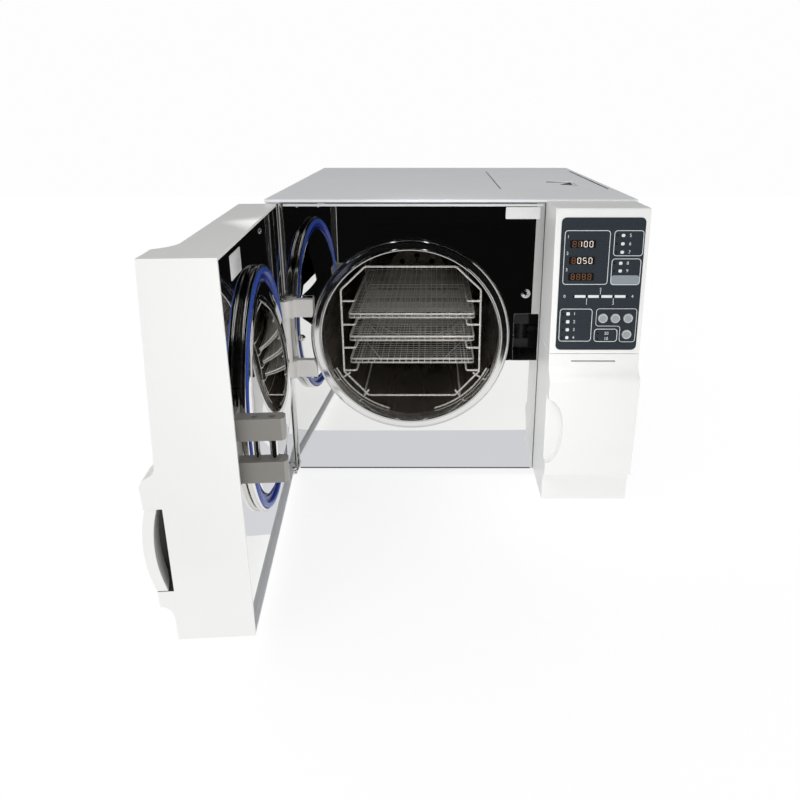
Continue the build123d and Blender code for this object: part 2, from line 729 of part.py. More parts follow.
def hinge_bracket():
    x1 = HINGE_X + LUG_RIGHT
    x_post = X_LEFT + LEFT_POST_W + 0.5
    lugs = lug_spans()
    plate = box(x_post, x1, PANEL_Y - BRACKET_T, PANEL_Y, lugs[1][0] - 4, lugs[0][1] + 4)
    shape = plate
    for z0, z1 in lugs:
        lug = rod_z(HINGE_X, RIM_Y, z0, z1, BARREL_R)
        lug = lug + box(HINGE_X, HINGE_X + 14, RIM_Y, PANEL_Y - SEAT_GAP, z0, z1)
        lug = lug + box(HINGE_X, x1, PANEL_Y - RING_PROUD, PANEL_Y - BRACKET_T + 0.5, z0, z1)
        shape = shape + (lug - rod_z(HINGE_X, RIM_Y, z0 - 1, z1 + 1, PIN_R))
    return shape - rod_y(AXIS_X, RIM_Y, PANEL_Y + 1, AXIS_Z, RING_R + 1.8)


def hinge_pins():
    """The long pin through the lugs, and the lower pivot on its tab."""
    (_, top), (low, _) = lug_spans()
    pin = rod_z(HINGE_X, RIM_Y, low - 1, top + 1, PIN_R)
    head = rod_z(HINGE_X, RIM_Y, top + 1, top + 3, PIN_R + 2)
    tab = box(HINGE_X - 9, HINGE_X + 12, RIM_Y - 8, PANEL_Y, FOOT_H + 0.5, FOOT_H + 3)
    washer = rod_z(HINGE_X, RIM_Y, FOOT_H + 3, DOOR_BOTTOM - SEAT_GAP, 6)
    pivot = rod_z(HINGE_X, RIM_Y, FOOT_H + 0.5, DOOR_BOTTOM + DOOR_WALL, PIN_R - 1)
    return [pin + head, tab + washer + pivot]


def door_block(inset):
    """The closed door as one block; a wall's inset gives its hollow."""
    x0 = HINGE_X - DOOR_TAIL + inset
    x1 = DOOR_RIGHT - inset
    z0 = DOOR_BOTTOM + inset
    z1 = DOOR_TOP - inset
    back = RIM_Y + (5 if inset else 0)
    main = front_prism(inset + DOOR_STEP, x0, x1, z0, z1, back)
    full = front_prism(inset, x0, x1, z0, z1, back)
    s0 = DOOR_RIGHT - FLARE_START + inset
    t0 = T_TOP - DOOR_STEP - inset - 0.5
    t1 = t0 + FLARE_RISE
    s1 = s0 + FLARE_RISE * 0.96
    plan = [
        Line((s0, back), (s0, RIM_Y - t0)),
        Bezier((s0, RIM_Y - t0), (s0 + 26, RIM_Y - t0 - 1), (s0 + 38, RIM_Y - t0 - 10), (s1, RIM_Y - t1)),
        Line((s1, RIM_Y - t1), (x1, RIM_Y - t1)),
        Line((x1, RIM_Y - t1), (x1, back)),
        Line((x1, back), (s0, back)),
    ]
    flare = extrude(Face(Wire(plan)), amount=z1 - z0)
    shape = main + (full & (Pos(0, 0, z0) * flare))
    notch = oval(DOOR_RIGHT + DOOR_GAP / 2, NOTCH_W + DOOR_GAP / 2, RIM_Y - 130,
                 RIM_Y - NOTCH_FLOOR + inset, inset)
    return shape - notch


def door_shell():
    shell = door_block(0) - door_block(DOOR_WALL)
    (_, top), (low, _) = lug_spans()
    shell = shell - rod_z(HINGE_X, RIM_Y, low - 3, top + 5, CUT_R)
    return shell - rod_z(HINGE_X, RIM_Y, DOOR_BOTTOM - 1, DOOR_BOTTOM + DOOR_WALL + 1, PIN_R - 1 + RUN_CLEAR)


def door_inner_panel():
    gap = DOOR_WALL + SEAT_GAP
    y0 = RIM_Y - PANEL_SINK - SHEET
    plate = box(HINGE_X - DOOR_TAIL + gap, DOOR_RIGHT - gap, y0, RIM_Y - PANEL_SINK,
                DOOR_BOTTOM + gap, DOOR_TOP - gap)
    (_, top), (low, _) = lug_spans()
    plate = plate - rod_z(HINGE_X, RIM_Y, low - 3, top + 5, CUT_R)
    plate = plate - box(HINGE_X - 20, HINGE_X + CUT_R, y0 - 1, RIM_Y, AXIS_Z - LUG_GAP / 2, AXIS_Z + LUG_GAP / 2)
    plate = plate - rod_z(HINGE_X, RIM_Y, DOOR_BOTTOM, DOOR_BOTTOM + 8, PIN_R + 4)
    return plate - rod_y(AXIS_X, y0 - 1, RIM_Y, AXIS_Z, STUD_R + 0.2)


def disc_height(h):
    """Closed-door Y of a height over the inner panel."""
    return RIM_Y - PANEL_SINK + h


def pressure_disc():
    """A dished plate with a rolled rim and a gasket groove, open at its back."""
    y = disc_height
    dome_r = (GROOVE_IN_R ** 2 + (DOME_H - DISC_RIM_H) ** 2) / (2 * (DOME_H - DISC_RIM_H))
    half = atan2(GROOVE_IN_R, dome_r) / 2

    def dome(drop):
        r = dome_r - drop
        mid = (r * sin(half), y(DOME_H - dome_r) + r * cos(half))
        end = (r * sin(2 * half), y(DOME_H - dome_r) + r * cos(2 * half))
        return mid, end, (0, y(DOME_H - drop))

    mid_o, end_o, top_o = dome(0)
    mid_i, end_i, top_i = dome(DISC_WALL)
    edges = [
        Line(top_i, top_o),
        ThreePointArc(top_o, mid_o, end_o),
        Line(end_o, (GROOVE_IN_R, y(3))),
        Line((GROOVE_IN_R, y(3)), (DISC_R - DISC_RIM_W, y(3))),
        Line((DISC_R - DISC_RIM_W, y(3)), (DISC_R - DISC_RIM_W, y(DISC_RIM_H - 1))),
        Line((DISC_R - DISC_RIM_W, y(DISC_RIM_H - 1)), (DISC_R - DISC_RIM_W + 1, y(DISC_RIM_H))),
        Line((DISC_R - DISC_RIM_W + 1, y(DISC_RIM_H)), (DISC_R - 1, y(DISC_RIM_H))),
        Line((DISC_R - 1, y(DISC_RIM_H)), (DISC_R, y(DISC_RIM_H - 1))),
        Line((DISC_R, y(DISC_RIM_H - 1)), (DISC_R, y(0))),
        Line((DISC_R, y(0)), (end_i[0], y(0))),
        Line((end_i[0], y(0)), end_i),
        ThreePointArc(end_i, mid_i, top_i),
    ]
    return on_chamber_axis(Face(Wire(edges)))


def door_gasket():
    """Ring gasket with a rounded sealing lip, resting in the disc's groove."""
    low = disc_height(3)
    high = RING_FRONT_Y - GASKET_CLEAR
    r0 = GASKET_IN_R
    r1 = GASKET_OUT_R
    edges = [
        Line((r0, low), (r1, low)),
        Line((r1, low), (r1, high - 3)),
        ThreePointArc((r1, high - 3), (r1 - 0.9, high - 0.9), (r1 - 3, high)),
        Line((r1 - 3, high), (r0 + 3, high)),
        ThreePointArc((r0 + 3, high), (r0 + 0.9, high - 0.9), (r0, high - 3)),
        Line((r0, high - 3), (r0, low)),
    ]
    return on_chamber_axis(Face(Wire(edges)))


def beam_front():
    """Closed-door Y of the beam's face against the inner panel."""
    return RIM_Y - PANEL_SINK - SHEET


def door_beam():
    y1 = beam_front()
    y0 = y1 - BEAM_D
    x0 = HINGE_X + 22
    x1 = HINGE_X + YOKE_S + 10
    z0 = AXIS_Z - BEAM_H / 2
    z1 = AXIS_Z + BEAM_H / 2
    w = BEAM_WALL
    tube = box(x0, x1, y0, y1, z0, z1) - box(x0 - 1, x1 + 1, y0 + w, y1 - w, z0 + w, z1 - w)
    return tube - rod_y(AXIS_X, y0 - 1, y1 + 1, AXIS_Z, STUD_R + 0.2)


def disc_stud():
    """The stud that hangs the disc on the beam, with its nut."""
    y0 = beam_front() - BEAM_D
    top = disc_height(DOME_H - DISC_WALL)
    stud = rod_y(AXIS_X, y0 - 10, top - 0.2, AXIS_Z, STUD_R)
    collar = rod_y(AXIS_X, disc_height(0), top - 1.5, AXIS_Z, STUD_R + 6)
    nut = Pos(AXIS_X, y0 - 5, AXIS_Z) * Rot(90, 0, 0) * extrude(RegularPolygon(13, 6), 4.9, both=True)
    return stud + collar + nut


def striker_yoke():
    y0 = RIM_Y - PANEL_SINK
    x = STRIKER_X
    z = AXIS_Z
    plate = box(x - YOKE_W, x + YOKE_W / 2 + 4, y0, y0 + 3, z - JAW_GAP / 2 - JAW_H - 3,
                z + JAW_GAP / 2 + JAW_H + 3)
    shape = plate
    for z0 in (z + JAW_GAP / 2, z - JAW_GAP / 2 - JAW_H):
        jaw = box(x - YOKE_W / 2, x + YOKE_W / 2, y0, RIM_Y + JAW_REACH, z0, z0 + JAW_H)
        jaw = chamfer(jaw.edges().filter_by(Axis.Z).sort_by(Axis.Y)[-2:], 3)
        shape = shape + jaw
    shape = shape - rod_z(x, RIM_Y + STRIKER_OFF, z - 60, z + 60, PIN_R)
    return shape - rod_z(x, RIM_Y + SPACER_OFF, z - 60, z + 60, SPACER_R)


def striker_pins():
    reach = JAW_GAP / 2 + JAW_H - 4
    pin = rod_z(STRIKER_X, RIM_Y + STRIKER_OFF, AXIS_Z - reach, AXIS_Z + reach, PIN_R)
    spacer = rod_z(STRIKER_X, RIM_Y + SPACER_OFF, AXIS_Z - reach, AXIS_Z + reach, SPACER_R)
    return [pin, spacer]


def hinge_knuckle():
    """Barrel between the lugs, with an arm into the beam's end."""
    half = LUG_GAP / 2 - SEAT_GAP
    y1 = beam_front() - BEAM_WALL - 0.2
    y0 = beam_front() - BEAM_D + BEAM_WALL + 0.2
    arm_h = BEAM_H / 2 - BEAM_WALL - 0.2
    barrel = rod_z(HINGE_X, RIM_Y, AXIS_Z - half, AXIS_Z + half, BARREL_R)
    arm = box(HINGE_X - 2, HINGE_X + 70, y0, y1, AXIS_Z - arm_h, AXIS_Z + arm_h)
    web = box(HINGE_X - 2, HINGE_X + 8, y0, RIM_Y - 3, AXIS_Z - arm_h, AXIS_Z + arm_h)
    return barrel + arm + web - rod_z(HINGE_X, RIM_Y, 0, CASE_H, PIN_R + RUN_CLEAR)


def handle_grip():
    """Bowed bar across the notch, its ends against the notch's rim."""
    half = OVAL_H / 2 + 2
    y_end = RIM_Y - T_BAND + 2.5
    y_mid = y_end - GRIP_BOW

    def at(y, z):
        return (0, y, OVAL_Z + z)

    edges = [
        ThreePointArc(at(y_end, half), at(y_mid, 0), at(y_end, -half)),
        Line(at(y_end, -half), at(y_end + GRIP_T, -half)),
        ThreePointArc(at(y_end + GRIP_T, -half), at(y_mid + GRIP_T, 0), at(y_end + GRIP_T, half)),
        Line(at(y_end + GRIP_T, half), at(y_end, half)),
    ]
    strip = extrude(Face(Wire(edges)), amount=GRIP_W, dir=(1, 0, 0))
    strip = Pos(DOOR_RIGHT - GRIP_W - 0.5, 0, 0) * strip
    notch = oval(DOOR_RIGHT + DOOR_GAP / 2, NOTCH_W + DOOR_GAP / 2, RIM_Y - 130, RIM_Y - NOTCH_FLOOR)
    return strip & notch


def water_tank():
    """Open-topped tank with a wall between clean and used water."""
    x0 = LID_X0 + 1
    x1 = LID_X1 - 1
    y0 = LID_Y0 + 3
    y1 = LID_Y1 - 14
    z1 = CASE_H - LID_T - TANK_TOP_GAP
    w = TANK_WALL
    split = y0 + (y1 - y0) * 0.62
    tank = box(x0, x1, y0, y1, TANK_Z0, z1)
    tank = tank - box(x0 + w, x1 - w, y0 + w, split - w / 2, TANK_Z0 + w, z1 + 1)
    return tank - box(x0 + w, x1 - w, split + w / 2, y1 - w, TANK_Z0 + w, z1 + 1)


def tank_shelf():
    """Bracket from the right side panel that carries the tank."""
    x0 = LID_X0 + 10
    x1 = X_RIGHT - SHEET
    shelf = box(x0, x1, LID_Y0 + 20, LID_Y1 - 30, TANK_Z0 - 2, TANK_Z0)
    rib = box(x1 - 2, x1, LID_Y0 + 20, LID_Y1 - 30, TANK_Z0 - 25, TANK_Z0 - 2)
    return shelf + rib


def tank_lid():
    z0 = CASE_H - LID_T
    slab = box(LID_X0, LID_X1, LID_Y0, LID_Y1, z0, CASE_H)
    slab = fillet(slab.edges().filter_by(Axis.Z), 3)
    pull_x = (LID_X0 + LID_X1) / 2 + 28
    pull_y = (LID_Y0 + LID_Y1) / 2 - 58
    slab = slab - Pos(pull_x, pull_y, CASE_H) * Box(46, 30, 2.8)
    axis_y = LID_Y1 - LID_AXIS_IN
    axis_z = CASE_H - LID_AXIS_DOWN
    pin = rod_x(LID_X0 - LID_GAP - 6, LID_X1 + LID_GAP + 6, axis_y, axis_z, LID_PIN_R)
    knuckle = rod_x(LID_X0 + 0.5, LID_X1 - 0.5, axis_y, axis_z, LID_PIN_R + 0.9)
    return slab + pin + knuckle


def vacuum_pump():
    z = PAN_TOP + 6 + PUMP_R
    y0 = PUMP_Y - PUMP_LEN / 2
    y1 = PUMP_Y + PUMP_LEN / 2
    motor = rod_y(PUMP_X, y0 + 50, y1, z, PUMP_R)
    head = box(PUMP_X - 34, PUMP_X + 34, y0, y0 + 52, z - 30, z + 34)
    plate = box(PUMP_X - 42, PUMP_X + 42, y0, y1, PAN_TOP, PAN_TOP + 4)
    feet_pads = box(PUMP_X - 30, PUMP_X + 30, y0 + 10, y1 - 10, PAN_TOP + 4, z - 20)
    return motor + head + plate + feet_pads


def steam_generator():
    body = rod_z(BOILER_X, BOILER_Y, PAN_TOP + 8, PAN_TOP + 8 + BOILER_H, BOILER_R)
    body = fillet(body.edges(), 6)
    skirt = rod_z(BOILER_X, BOILER_Y, PAN_TOP, PAN_TOP + 16, BOILER_R - 10)
    flange = rod_z(BOILER_X, BOILER_Y, PAN_TOP, PAN_TOP + 3, BOILER_R)
    return body + skirt + flange


def solenoid_valves():
    """A row of valves on one manifold block."""
    x0 = BOILER_X - 75
    z0 = PAN_TOP
    last = x0 + VALVE_PITCH * VALVE_COUNT
    shape = box(x0, last, VALVE_Y - 14, VALVE_Y + 14, z0, z0 + 22)
    for i in range(VALVE_COUNT):
        x = x0 + VALVE_PITCH * (i + 0.5)
        coil = box(x - 11, x + 11, VALVE_Y - 12, VALVE_Y + 12, z0 + 26, z0 + 56)
        stem = rod_z(x, VALVE_Y, z0 + 20, z0 + 64, 6)
        shape = shape + coil + stem
    return shape


def main_board():
    """Power board on posts from the right side panel."""
    x1 = X_RIGHT - SHEET
    x0 = x1 - BOARD_OFF
    y1 = BOARD_Y0 + BOARD_LEN
    z1 = BOARD_Z0 + BOARD_H
    board = box(x0, x0 + BOARD_T, BOARD_Y0, y1, BOARD_Z0, z1)
    for y in (BOARD_Y0 + 8, y1 - 8):
        for z in (BOARD_Z0 + 8, z1 - 8):
            board = board + rod_x(x0, x1, y, z, BOARD_POST_R)
    for share, w, h in ((0.2, 26, 20), (0.475, 40, 26), (0.775, 30, 34)):
        y = BOARD_Y0 + share * BOARD_LEN
        board = board + box(x0 - h, x0 + SEAT_GAP, y - w / 2, y + w / 2, BOARD_Z0 + 30, BOARD_Z0 + 30 + w)
    return board


def condenser():
    """Finned block in front of the fan, on two feet from the rear panel."""
    half = FAN_SIZE / 2
    y1 = Y_BACK - SHEET - FAN_T - 1
    y0 = y1 - CONDENSER_T
    core = box(FAN_X - half, FAN_X + half, y0 + 10, y0 + 20, FAN_Z - half, FAN_Z + half)
    step = FAN_SIZE / FINS
    shape = core
    for i in range(FINS):
        z = FAN_Z - half + step * (i + 0.5)
        shape = shape + box(FAN_X - half, FAN_X + half, y0, y1, z - 0.8, z + 0.8)
    return shape


def fan_frame():
    half = FAN_SIZE / 2
    y1 = Y_BACK - SHEET
    y0 = y1 - FAN_T
    frame = box(FAN_X - half, FAN_X + half, y0 - 1, y1, FAN_Z - half, FAN_Z + half)
    frame = frame - rod_y(FAN_X, y0 - 2, y1 + 1, FAN_Z, FAN_R)
    spider = rod_y(FAN_X, y0 - 1, y0 + 2, FAN_Z, HUB_R)
    for i in range(4):
        arm = Pos(FAN_X, 0, FAN_Z) * Rot(0, 45 + 90 * i, 0) * box(0, FAN_R + 2, y0 - 1, y0 + 1, -3, 3)
        spider = spider + arm
    axle = rod_y(FAN_X, y0, y1 - 6, FAN_Z, 2)
    return frame + spider + axle


def fan_rotor():
    y1 = Y_BACK - SHEET
    y0 = y1 - FAN_T
    shape = rod_y(FAN_X, y0 + 2 + SEAT_GAP, y1 - 3, FAN_Z, HUB_R)
    for i in range(BLADES):
        blade = box(HUB_R - 2, FAN_R - 2.5, -1, 1, -14, 14)
        blade = blade.rotate(Axis.X, 30)
        place = Pos(FAN_X, (y0 + y1) / 2 + 0.5, FAN_Z) * Rot(0, 360 / BLADES * i, 0)
        shape = shape + place * blade
    return shape - rod_y(FAN_X, y0, y1 - 5.5, FAN_Z, 2 + RUN_CLEAR)


def safety_valve():
    y0 = Y_BACK - 25
    body = rod_y(SAFETY_X, y0, Y_BACK + 14, SAFETY_Z, SAFETY_R - 0.3)
    collar = rod_y(SAFETY_X, Y_BACK, Y_BACK + 4, SAFETY_Z, SAFETY_R + 4)
    cap = rod_y(SAFETY_X, Y_BACK + 14, Y_BACK + 20, SAFETY_Z, SAFETY_R - 3)
    return body + collar + cap


def power_inlet():
    w = INLET_W / 2
    h = INLET_H / 2
    g = SEAT_GAP
    body = box(INLET_X - w + g, INLET_X + w - g, Y_BACK - 28, Y_BACK + 1, INLET_Z - h + g, INLET_Z + h - g)
    flange = box(INLET_X - w - 4, INLET_X + w + 4, Y_BACK, Y_BACK + 2.5, INLET_Z - h - 3, INLET_Z + h + 3)
    well = box(INLET_X - 12, INLET_X + 12, Y_BACK - 16, Y_BACK + 4, INLET_Z - 8, INLET_Z + 8)
    shape = body + flange - well
    for dx, dz in ((-7, -2), (7, -2), (0, 3)):
        shape = shape + box(INLET_X + dx - 1, INLET_X + dx + 1, Y_BACK - 17, Y_BACK - 4,
                            INLET_Z + dz - 2, INLET_Z + dz + 2)
    return shape


def switch_frame():
    w = SWITCH_W / 2
    h = SWITCH_H / 2
    g = SEAT_GAP
    body = box(SWITCH_X - w + g, SWITCH_X + w - g, Y_BACK - 20, Y_BACK + 1, INLET_Z - h + g, INLET_Z + h - g)
    flange = box(SWITCH_X - w - 2, SWITCH_X + w + 2, Y_BACK, Y_BACK + 2, INLET_Z - h - 2, INLET_Z + h + 2)
    well = box(SWITCH_X - w + 2, SWITCH_X + w - 2, Y_BACK - 14, Y_BACK + 3, INLET_Z - h + 2, INLET_Z + h - 2)
    shape = body + flange - well
    return shape + rod_x(SWITCH_X - w + 1, SWITCH_X + w - 1, Y_BACK - 5, INLET_Z, 1.5)


def switch_rocker():
    """Rocker tipped to its off side."""
    w = SWITCH_W / 2 - 2.4
    h = SWITCH_H / 2 - 3.2
    edges = [
        Line((0, -2, -h), (0, 6.5, -h)),
        ThreePointArc((0, 6.5, -h), (0, 4.5, 0), (0, 6.5, h)),
        Line((0, 6.5, h), (0, -2, h)),
        Line((0, -2, h), (0, -2, -h)),
    ]
    body = Pos(-w, 0, 0) * extrude(Face(Wire(edges)), amount=2 * w, dir=(1, 0, 0))
    body = body - rod_x(-w - 1, w + 1, 0, 0, 1.5 + RUN_CLEAR)
    return Pos(SWITCH_X, Y_BACK - 5, INLET_Z) * Rot(8, 0, 0) * body


def drain_ports():
    ports = []
    for x in PORT_X:
        port = rod_y(x, Y_BACK - PORT_IN, Y_BACK + 18, PORT_Z, PORT_R - 0.3)
        port = port + rod_y(x, Y_BACK, Y_BACK + 5, PORT_Z, PORT_R + 5)
        port = port - rod_y(x, Y_BACK - 30, Y_BACK + 30, PORT_Z, 3)
        ports.append(port)
    return ports


def run_pipe(points):
    """A pipe through the points, straight between tangent bends."""
    start = Vector(*points[0])
    path = FilletPolyline(*points, radius=BEND_R)
    ahead = Vector(*points[1]) - start
    return sweep(Plane(origin=start, z_dir=ahead) * Circle(PIPE_R), path)


def pipes():
    """Steam, feed, drain and condenser pipes, each held at both ends."""
    top = PAN_TOP + 8 + BOILER_H
    bend = 24.0
    x_in = AXIS_X + LAGGING_R + SEAT_GAP
    path = FilletPolyline((BOILER_X, BOILER_Y, top), (BOILER_X, BOILER_Y, AXIS_Z),
                          (x_in, BOILER_Y, AXIS_Z), radius=bend)
    steam = sweep(Plane(origin=(BOILER_X, BOILER_Y, top), z_dir=(0, 0, 1)) * Circle(PIPE_R), path)
    hose_x = PUMP_X
    hose_y = PUMP_Y - PUMP_LEN / 2 + 25
    pump_top = PAN_TOP + 6 + PUMP_R + 34
    hose = rod_z(hose_x, hose_y, pump_top, TANK_Z0 - 2, PIPE_R)
    behind = LAGGING_BACK_Y + 34
    inner_port = Y_BACK - PORT_IN
    valve_x = BOILER_X - 60
    low = PAN_TOP + 11
    drain = run_pipe([(PORT_X[1], inner_port, PORT_Z), (PORT_X[1], behind, PORT_Z),
                      (valve_x, behind, PORT_Z), (valve_x, behind, low), (valve_x, VALVE_Y + 14, low)])
    rise_x = LID_X0 + 27
    rise_y = LAGGING_BACK_Y + 17
    overflow = run_pipe([(PORT_X[0], inner_port, PORT_Z), (PORT_X[0], rise_y, PORT_Z),
                         (rise_x, rise_y, PORT_Z), (rise_x, rise_y, TANK_Z0 - 20),
                         (rise_x, LID_Y1 - 46, TANK_Z0 - 20), (rise_x, LID_Y1 - 46, TANK_Z0 - 2)])
    core_y = Y_BACK - SHEET - FAN_T - 1 - CONDENSER_T / 2
    cooled = run_pipe([(FAN_X + FAN_SIZE / 2, core_y, FAN_Z), (AXIS_X, core_y, FAN_Z),
                       (AXIS_X, core_y, AXIS_Z), (AXIS_X, LAGGING_BACK_Y, AXIS_Z)])
    return [steam, hose, drain, overflow, cooled]


def cross_screw(x, z, seat, r):
    """A cross-head screw on its washer, facing the front."""
    top = seat - 1.2
    washer = rod_y(x, top, seat, z, r)
    dome = Sphere(r * 0.8) & Pos(0, 0, r) * Box(4 * r, 4 * r, 2 * r)
    head = Pos(x, top, z) * Rot(90, 0, 0) * dome
    slot = box(x - r / 2, x + r / 2, seat - 9, seat - 3.4, z - r / 10, z + r / 10)
    cross = box(x - r / 10, x + r / 10, seat - 9, seat - 3.4, z - r / 2, z + r / 2)
    return washer + head - slot - cross


def case_screws():
    """The screws and bolts that show on the front and the rear panel."""
    screws = [
        cross_screw(AXIS_X + PANEL_SCREW_DX, AXIS_Z + PANEL_SCREW_DZ, PANEL_Y, SCREW_R),
        cross_screw(HINGE_X + BRACKET_BOLT_DX, AXIS_Z, PANEL_Y - BRACKET_T, BRACKET_BOLT_R),
    ]
    heights = (FOOT_H + REAR_SCREW_END, (FOOT_H + CASE_H) / 2, CASE_H - REAR_SCREW_END)
    for x in (X_LEFT + REAR_SCREW_IN, X_RIGHT - REAR_SCREW_IN):
        for z in heights:
            screws.append(rod_y(x, Y_BACK, Y_BACK + 2, z, REAR_SCREW_R))
    return screws


def octagon(y):
    """The rack's end frame at one place along Y."""
    spots = [(-RACK_TOP_X, RACK_TOP_Z), (RACK_TOP_X, RACK_TOP_Z), (RACK_SIDE_X, RACK_SHOULDER_Z),
             (RACK_SIDE_X, RACK_HIP_Z), (RACK_TOP_X, RACK_BOTTOM_Z), (-RACK_TOP_X, RACK_BOTTOM_Z),
             (-RACK_SIDE_X, RACK_HIP_Z), (-RACK_SIDE_X, RACK_SHOULDER_Z)]
    points = [(AXIS_X + x, y, AXIS_Z + z) for x, z in spots]
    shape = None
    for a, b in zip(points, points[1:] + points[:1]):
        piece = bar(a, b, WIRE_R) + Pos(*a) * Sphere(WIRE_R)
        shape = piece if shape is None else shape + piece
    return shape


def tray_rack():
    """Welded wire rack: two end frames, eight rails and bowed skids."""
    y0 = PANEL_Y + RACK_FRONT_DY
    y1 = y0 + RACK_LEN
    shape = octagon(y0) + octagon(y1)
    for side in (-1, 1):
        x_side = AXIS_X + side * RACK_SIDE_X
        x_rail = AXIS_X + side * RAIL_X
        for z in RAIL_Z:
            zz = AXIS_Z + z
            rail = bar((x_rail, y0, zz), (x_rail, y1, zz), WIRE_R)
            for y in (y0, y1):
                stub = bar((x_side, y, zz), (x_rail, y, zz), WIRE_R)
                rail = rail + stub + Pos(x_rail, y, zz) * Sphere(WIRE_R)
            shape = shape + rail
    skid_r = BORE_R - SKID_GAP - WIRE_R
    for start in (206, 286):
        for y in (y0, y1):
            wire = Plane(origin=(skid_r * cos(radians(start)), 0, skid_r * sin(radians(start))),
                         z_dir=(-sin(radians(start)), 0, cos(radians(start)))) * Circle(WIRE_R)
            arc = revolve(wire, Axis((0, 0, 0), (0, -1, 0)), revolution_arc=48)
            shape = shape + Pos(AXIS_X, y, AXIS_Z) * arc
    for a in (214, 234, 306, 326):
        ca = cos(radians(a))
        sa = sin(radians(a))
        for y in (y0, y1):
            shape = shape + bar((AXIS_X + 108 * ca, y, AXIS_Z + 108 * sa),
                                (AXIS_X + skid_r * ca, y, AXIS_Z + skid_r * sa), WIRE_R)
    for a in (234, 306):
        x = AXIS_X + (skid_r - 0.2) * cos(radians(a))
        z = AXIS_Z + (skid_r - 0.2) * sin(radians(a))
        shape = shape + bar((x, y0, z), (x, y1, z), WIRE_R)
    return shape


def tray(level):
    """Mesh tray: a barred floor with an upright rim."""
    x0 = AXIS_X - TRAY_W / 2
    y0 = PANEL_Y + RACK_FRONT_DY + TRAY_DY
    z0 = AXIS_Z + RAIL_Z[level] + WIRE_R + SEAT_GAP
    rim = box(x0, x0 + TRAY_W, y0, y0 + TRAY_L, z0, z0 + TRAY_H)
    rim = rim - box(x0 + TRAY_WALL, x0 + TRAY_W - TRAY_WALL, y0 + TRAY_WALL, y0 + TRAY_L - TRAY_WALL,
                    z0 - 1, z0 + TRAY_H + 1)
    cell_x = (TRAY_W - 2 * TRAY_WALL) / TRAY_NX
    cell_y = (TRAY_L - 2 * TRAY_WALL) / TRAY_NY
    outer = Wire.make_rect(TRAY_W - TRAY_WALL, TRAY_L - TRAY_WALL)
    holes = []
    for i in range(TRAY_NX):
        for j in range(TRAY_NY):
            hole = Wire.make_rect(cell_x - TRAY_BAR, cell_y - TRAY_BAR)
            holes.append(hole.moved(Location(((i + 0.5 - TRAY_NX / 2) * cell_x,
                                              (j + 0.5 - TRAY_NY / 2) * cell_y, 0))))
    floor = extrude(Face(outer, holes), amount=TRAY_FLOOR, dir=(0, 0, 1))
    return rim + Pos(AXIS_X, y0 + TRAY_L / 2, z0) * floor


def build():
    """Every node of the autoclave, by name."""
    parts = {
        "base_pan": base_pan(),
        "feet": feet(),
        "top_cover": top_cover(),
        "side_panel_left": side_panel(-1),
        "side_panel_right": side_panel(1),
        "rear_panel": rear_panel(),
        "front_bulkhead": front_bulkhead(),
        "mirror_front_panel": mirror_front_panel(),
        "control_head": control_head(),
        "column_lower_cover": column_lower_cover(),
        "control_fascia": control_fascia(),
        "display_windows": display_windows(),
        "indicator_lenses": indicator_lenses(),
        "control_board": control_board(),
        "printer_module": printer_module(),
        "chamber_vessel": chamber_vessel(),
        "chamber_ring": chamber_ring(),
        "band_heater": band_heater(),
        "chamber_insulation": chamber_insulation(),
        "inner_supports": [*chamber_cradle(), tank_shelf()],
        "steam_baffle": steam_baffle(),
        "latch_frame": latch_frame(),
        "latch_hook": latch_hook(),
        "latch_motor": latch_motor(),
        "hinge_bracket": hinge_bracket(),
        "hinge_pins": hinge_pins(),
        "water_tank": water_tank(),
        "tank_lid": tank_lid(),
        "vacuum_pump": vacuum_pump(),
        "steam_generator": steam_generator(),
        "solenoid_valves": solenoid_valves(),
        "main_board": main_board(),
        "condenser": condenser(),
        "fan_frame": fan_frame(),
        "fan_rotor": fan_rotor(),
        "safety_valve": safety_valve(),
        "power_inlet": power_inlet(),
        "switch_frame": switch_frame(),
        "switch_rocker": switch_rocker(),
        "drain_ports": drain_ports(),
        "pipes": pipes(),
        "case_screws": case_screws(),
        "tray_rack": tray_rack(),
    }
    for index in range(len(BUTTON_PLACES)):
        parts[f"button_{index + 1}"] = button(index)
    for index, name in enumerate(("upper", "middle", "lower")):
        parts[f"tray_{name}"] = tray(index + 1)
    door = {
        "door_shell": door_shell(),
        "door_inner_panel": door_inner_panel(),
        "pressure_disc": pressure_disc(),
        "door_gasket": door_gasket(),
        "door_beam": door_beam(),
        "disc_stud": disc_stud(),
        "striker_yoke": striker_yoke(),
        "striker_pins": striker_pins(),
        "hinge_knuckle": hinge_knuckle(),
        "handle_grip": handle_grip(),
    }
    for name, shape in door.items():
        parts[name] = [opened(s) for s in shape] if isinstance(shape, list) else opened(shape)
    return parts


def outline_middle(solids):
    """The middle of the whole outline, to the nearest millimetre."""
    boxes = [solid.bounding_box() for solid in solids]
    x = min(b.min.X for b in boxes) + max(b.max.X for b in boxes)
    y = min(b.min.Y for b in boxes) + max(b.max.Y for b in boxes)
    return round(x / 2), round(y / 2)


def main():
    os.makedirs("parts", exist_ok=True)
    solids = {}
    for name, shape in build().items():
        solids[name] = Compound(children=list(shape)) if isinstance(shape, list) else shape
    mid_x, mid_y = outline_middle(solids.values())
    for name, solid in solids.items():
        export_step(solid.moved(Location((-mid_x, -mid_y, 0))), f"parts/{name}.step")


main()
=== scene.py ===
import logging
import math
from contextlib import contextmanager
from dataclasses import dataclass
from enum import Enum
from typing import Callable, Dict, Iterator, List, Optional, Sequence, Tuple, Union

import bmesh
import bpy
from mathutils import Matrix, Vector


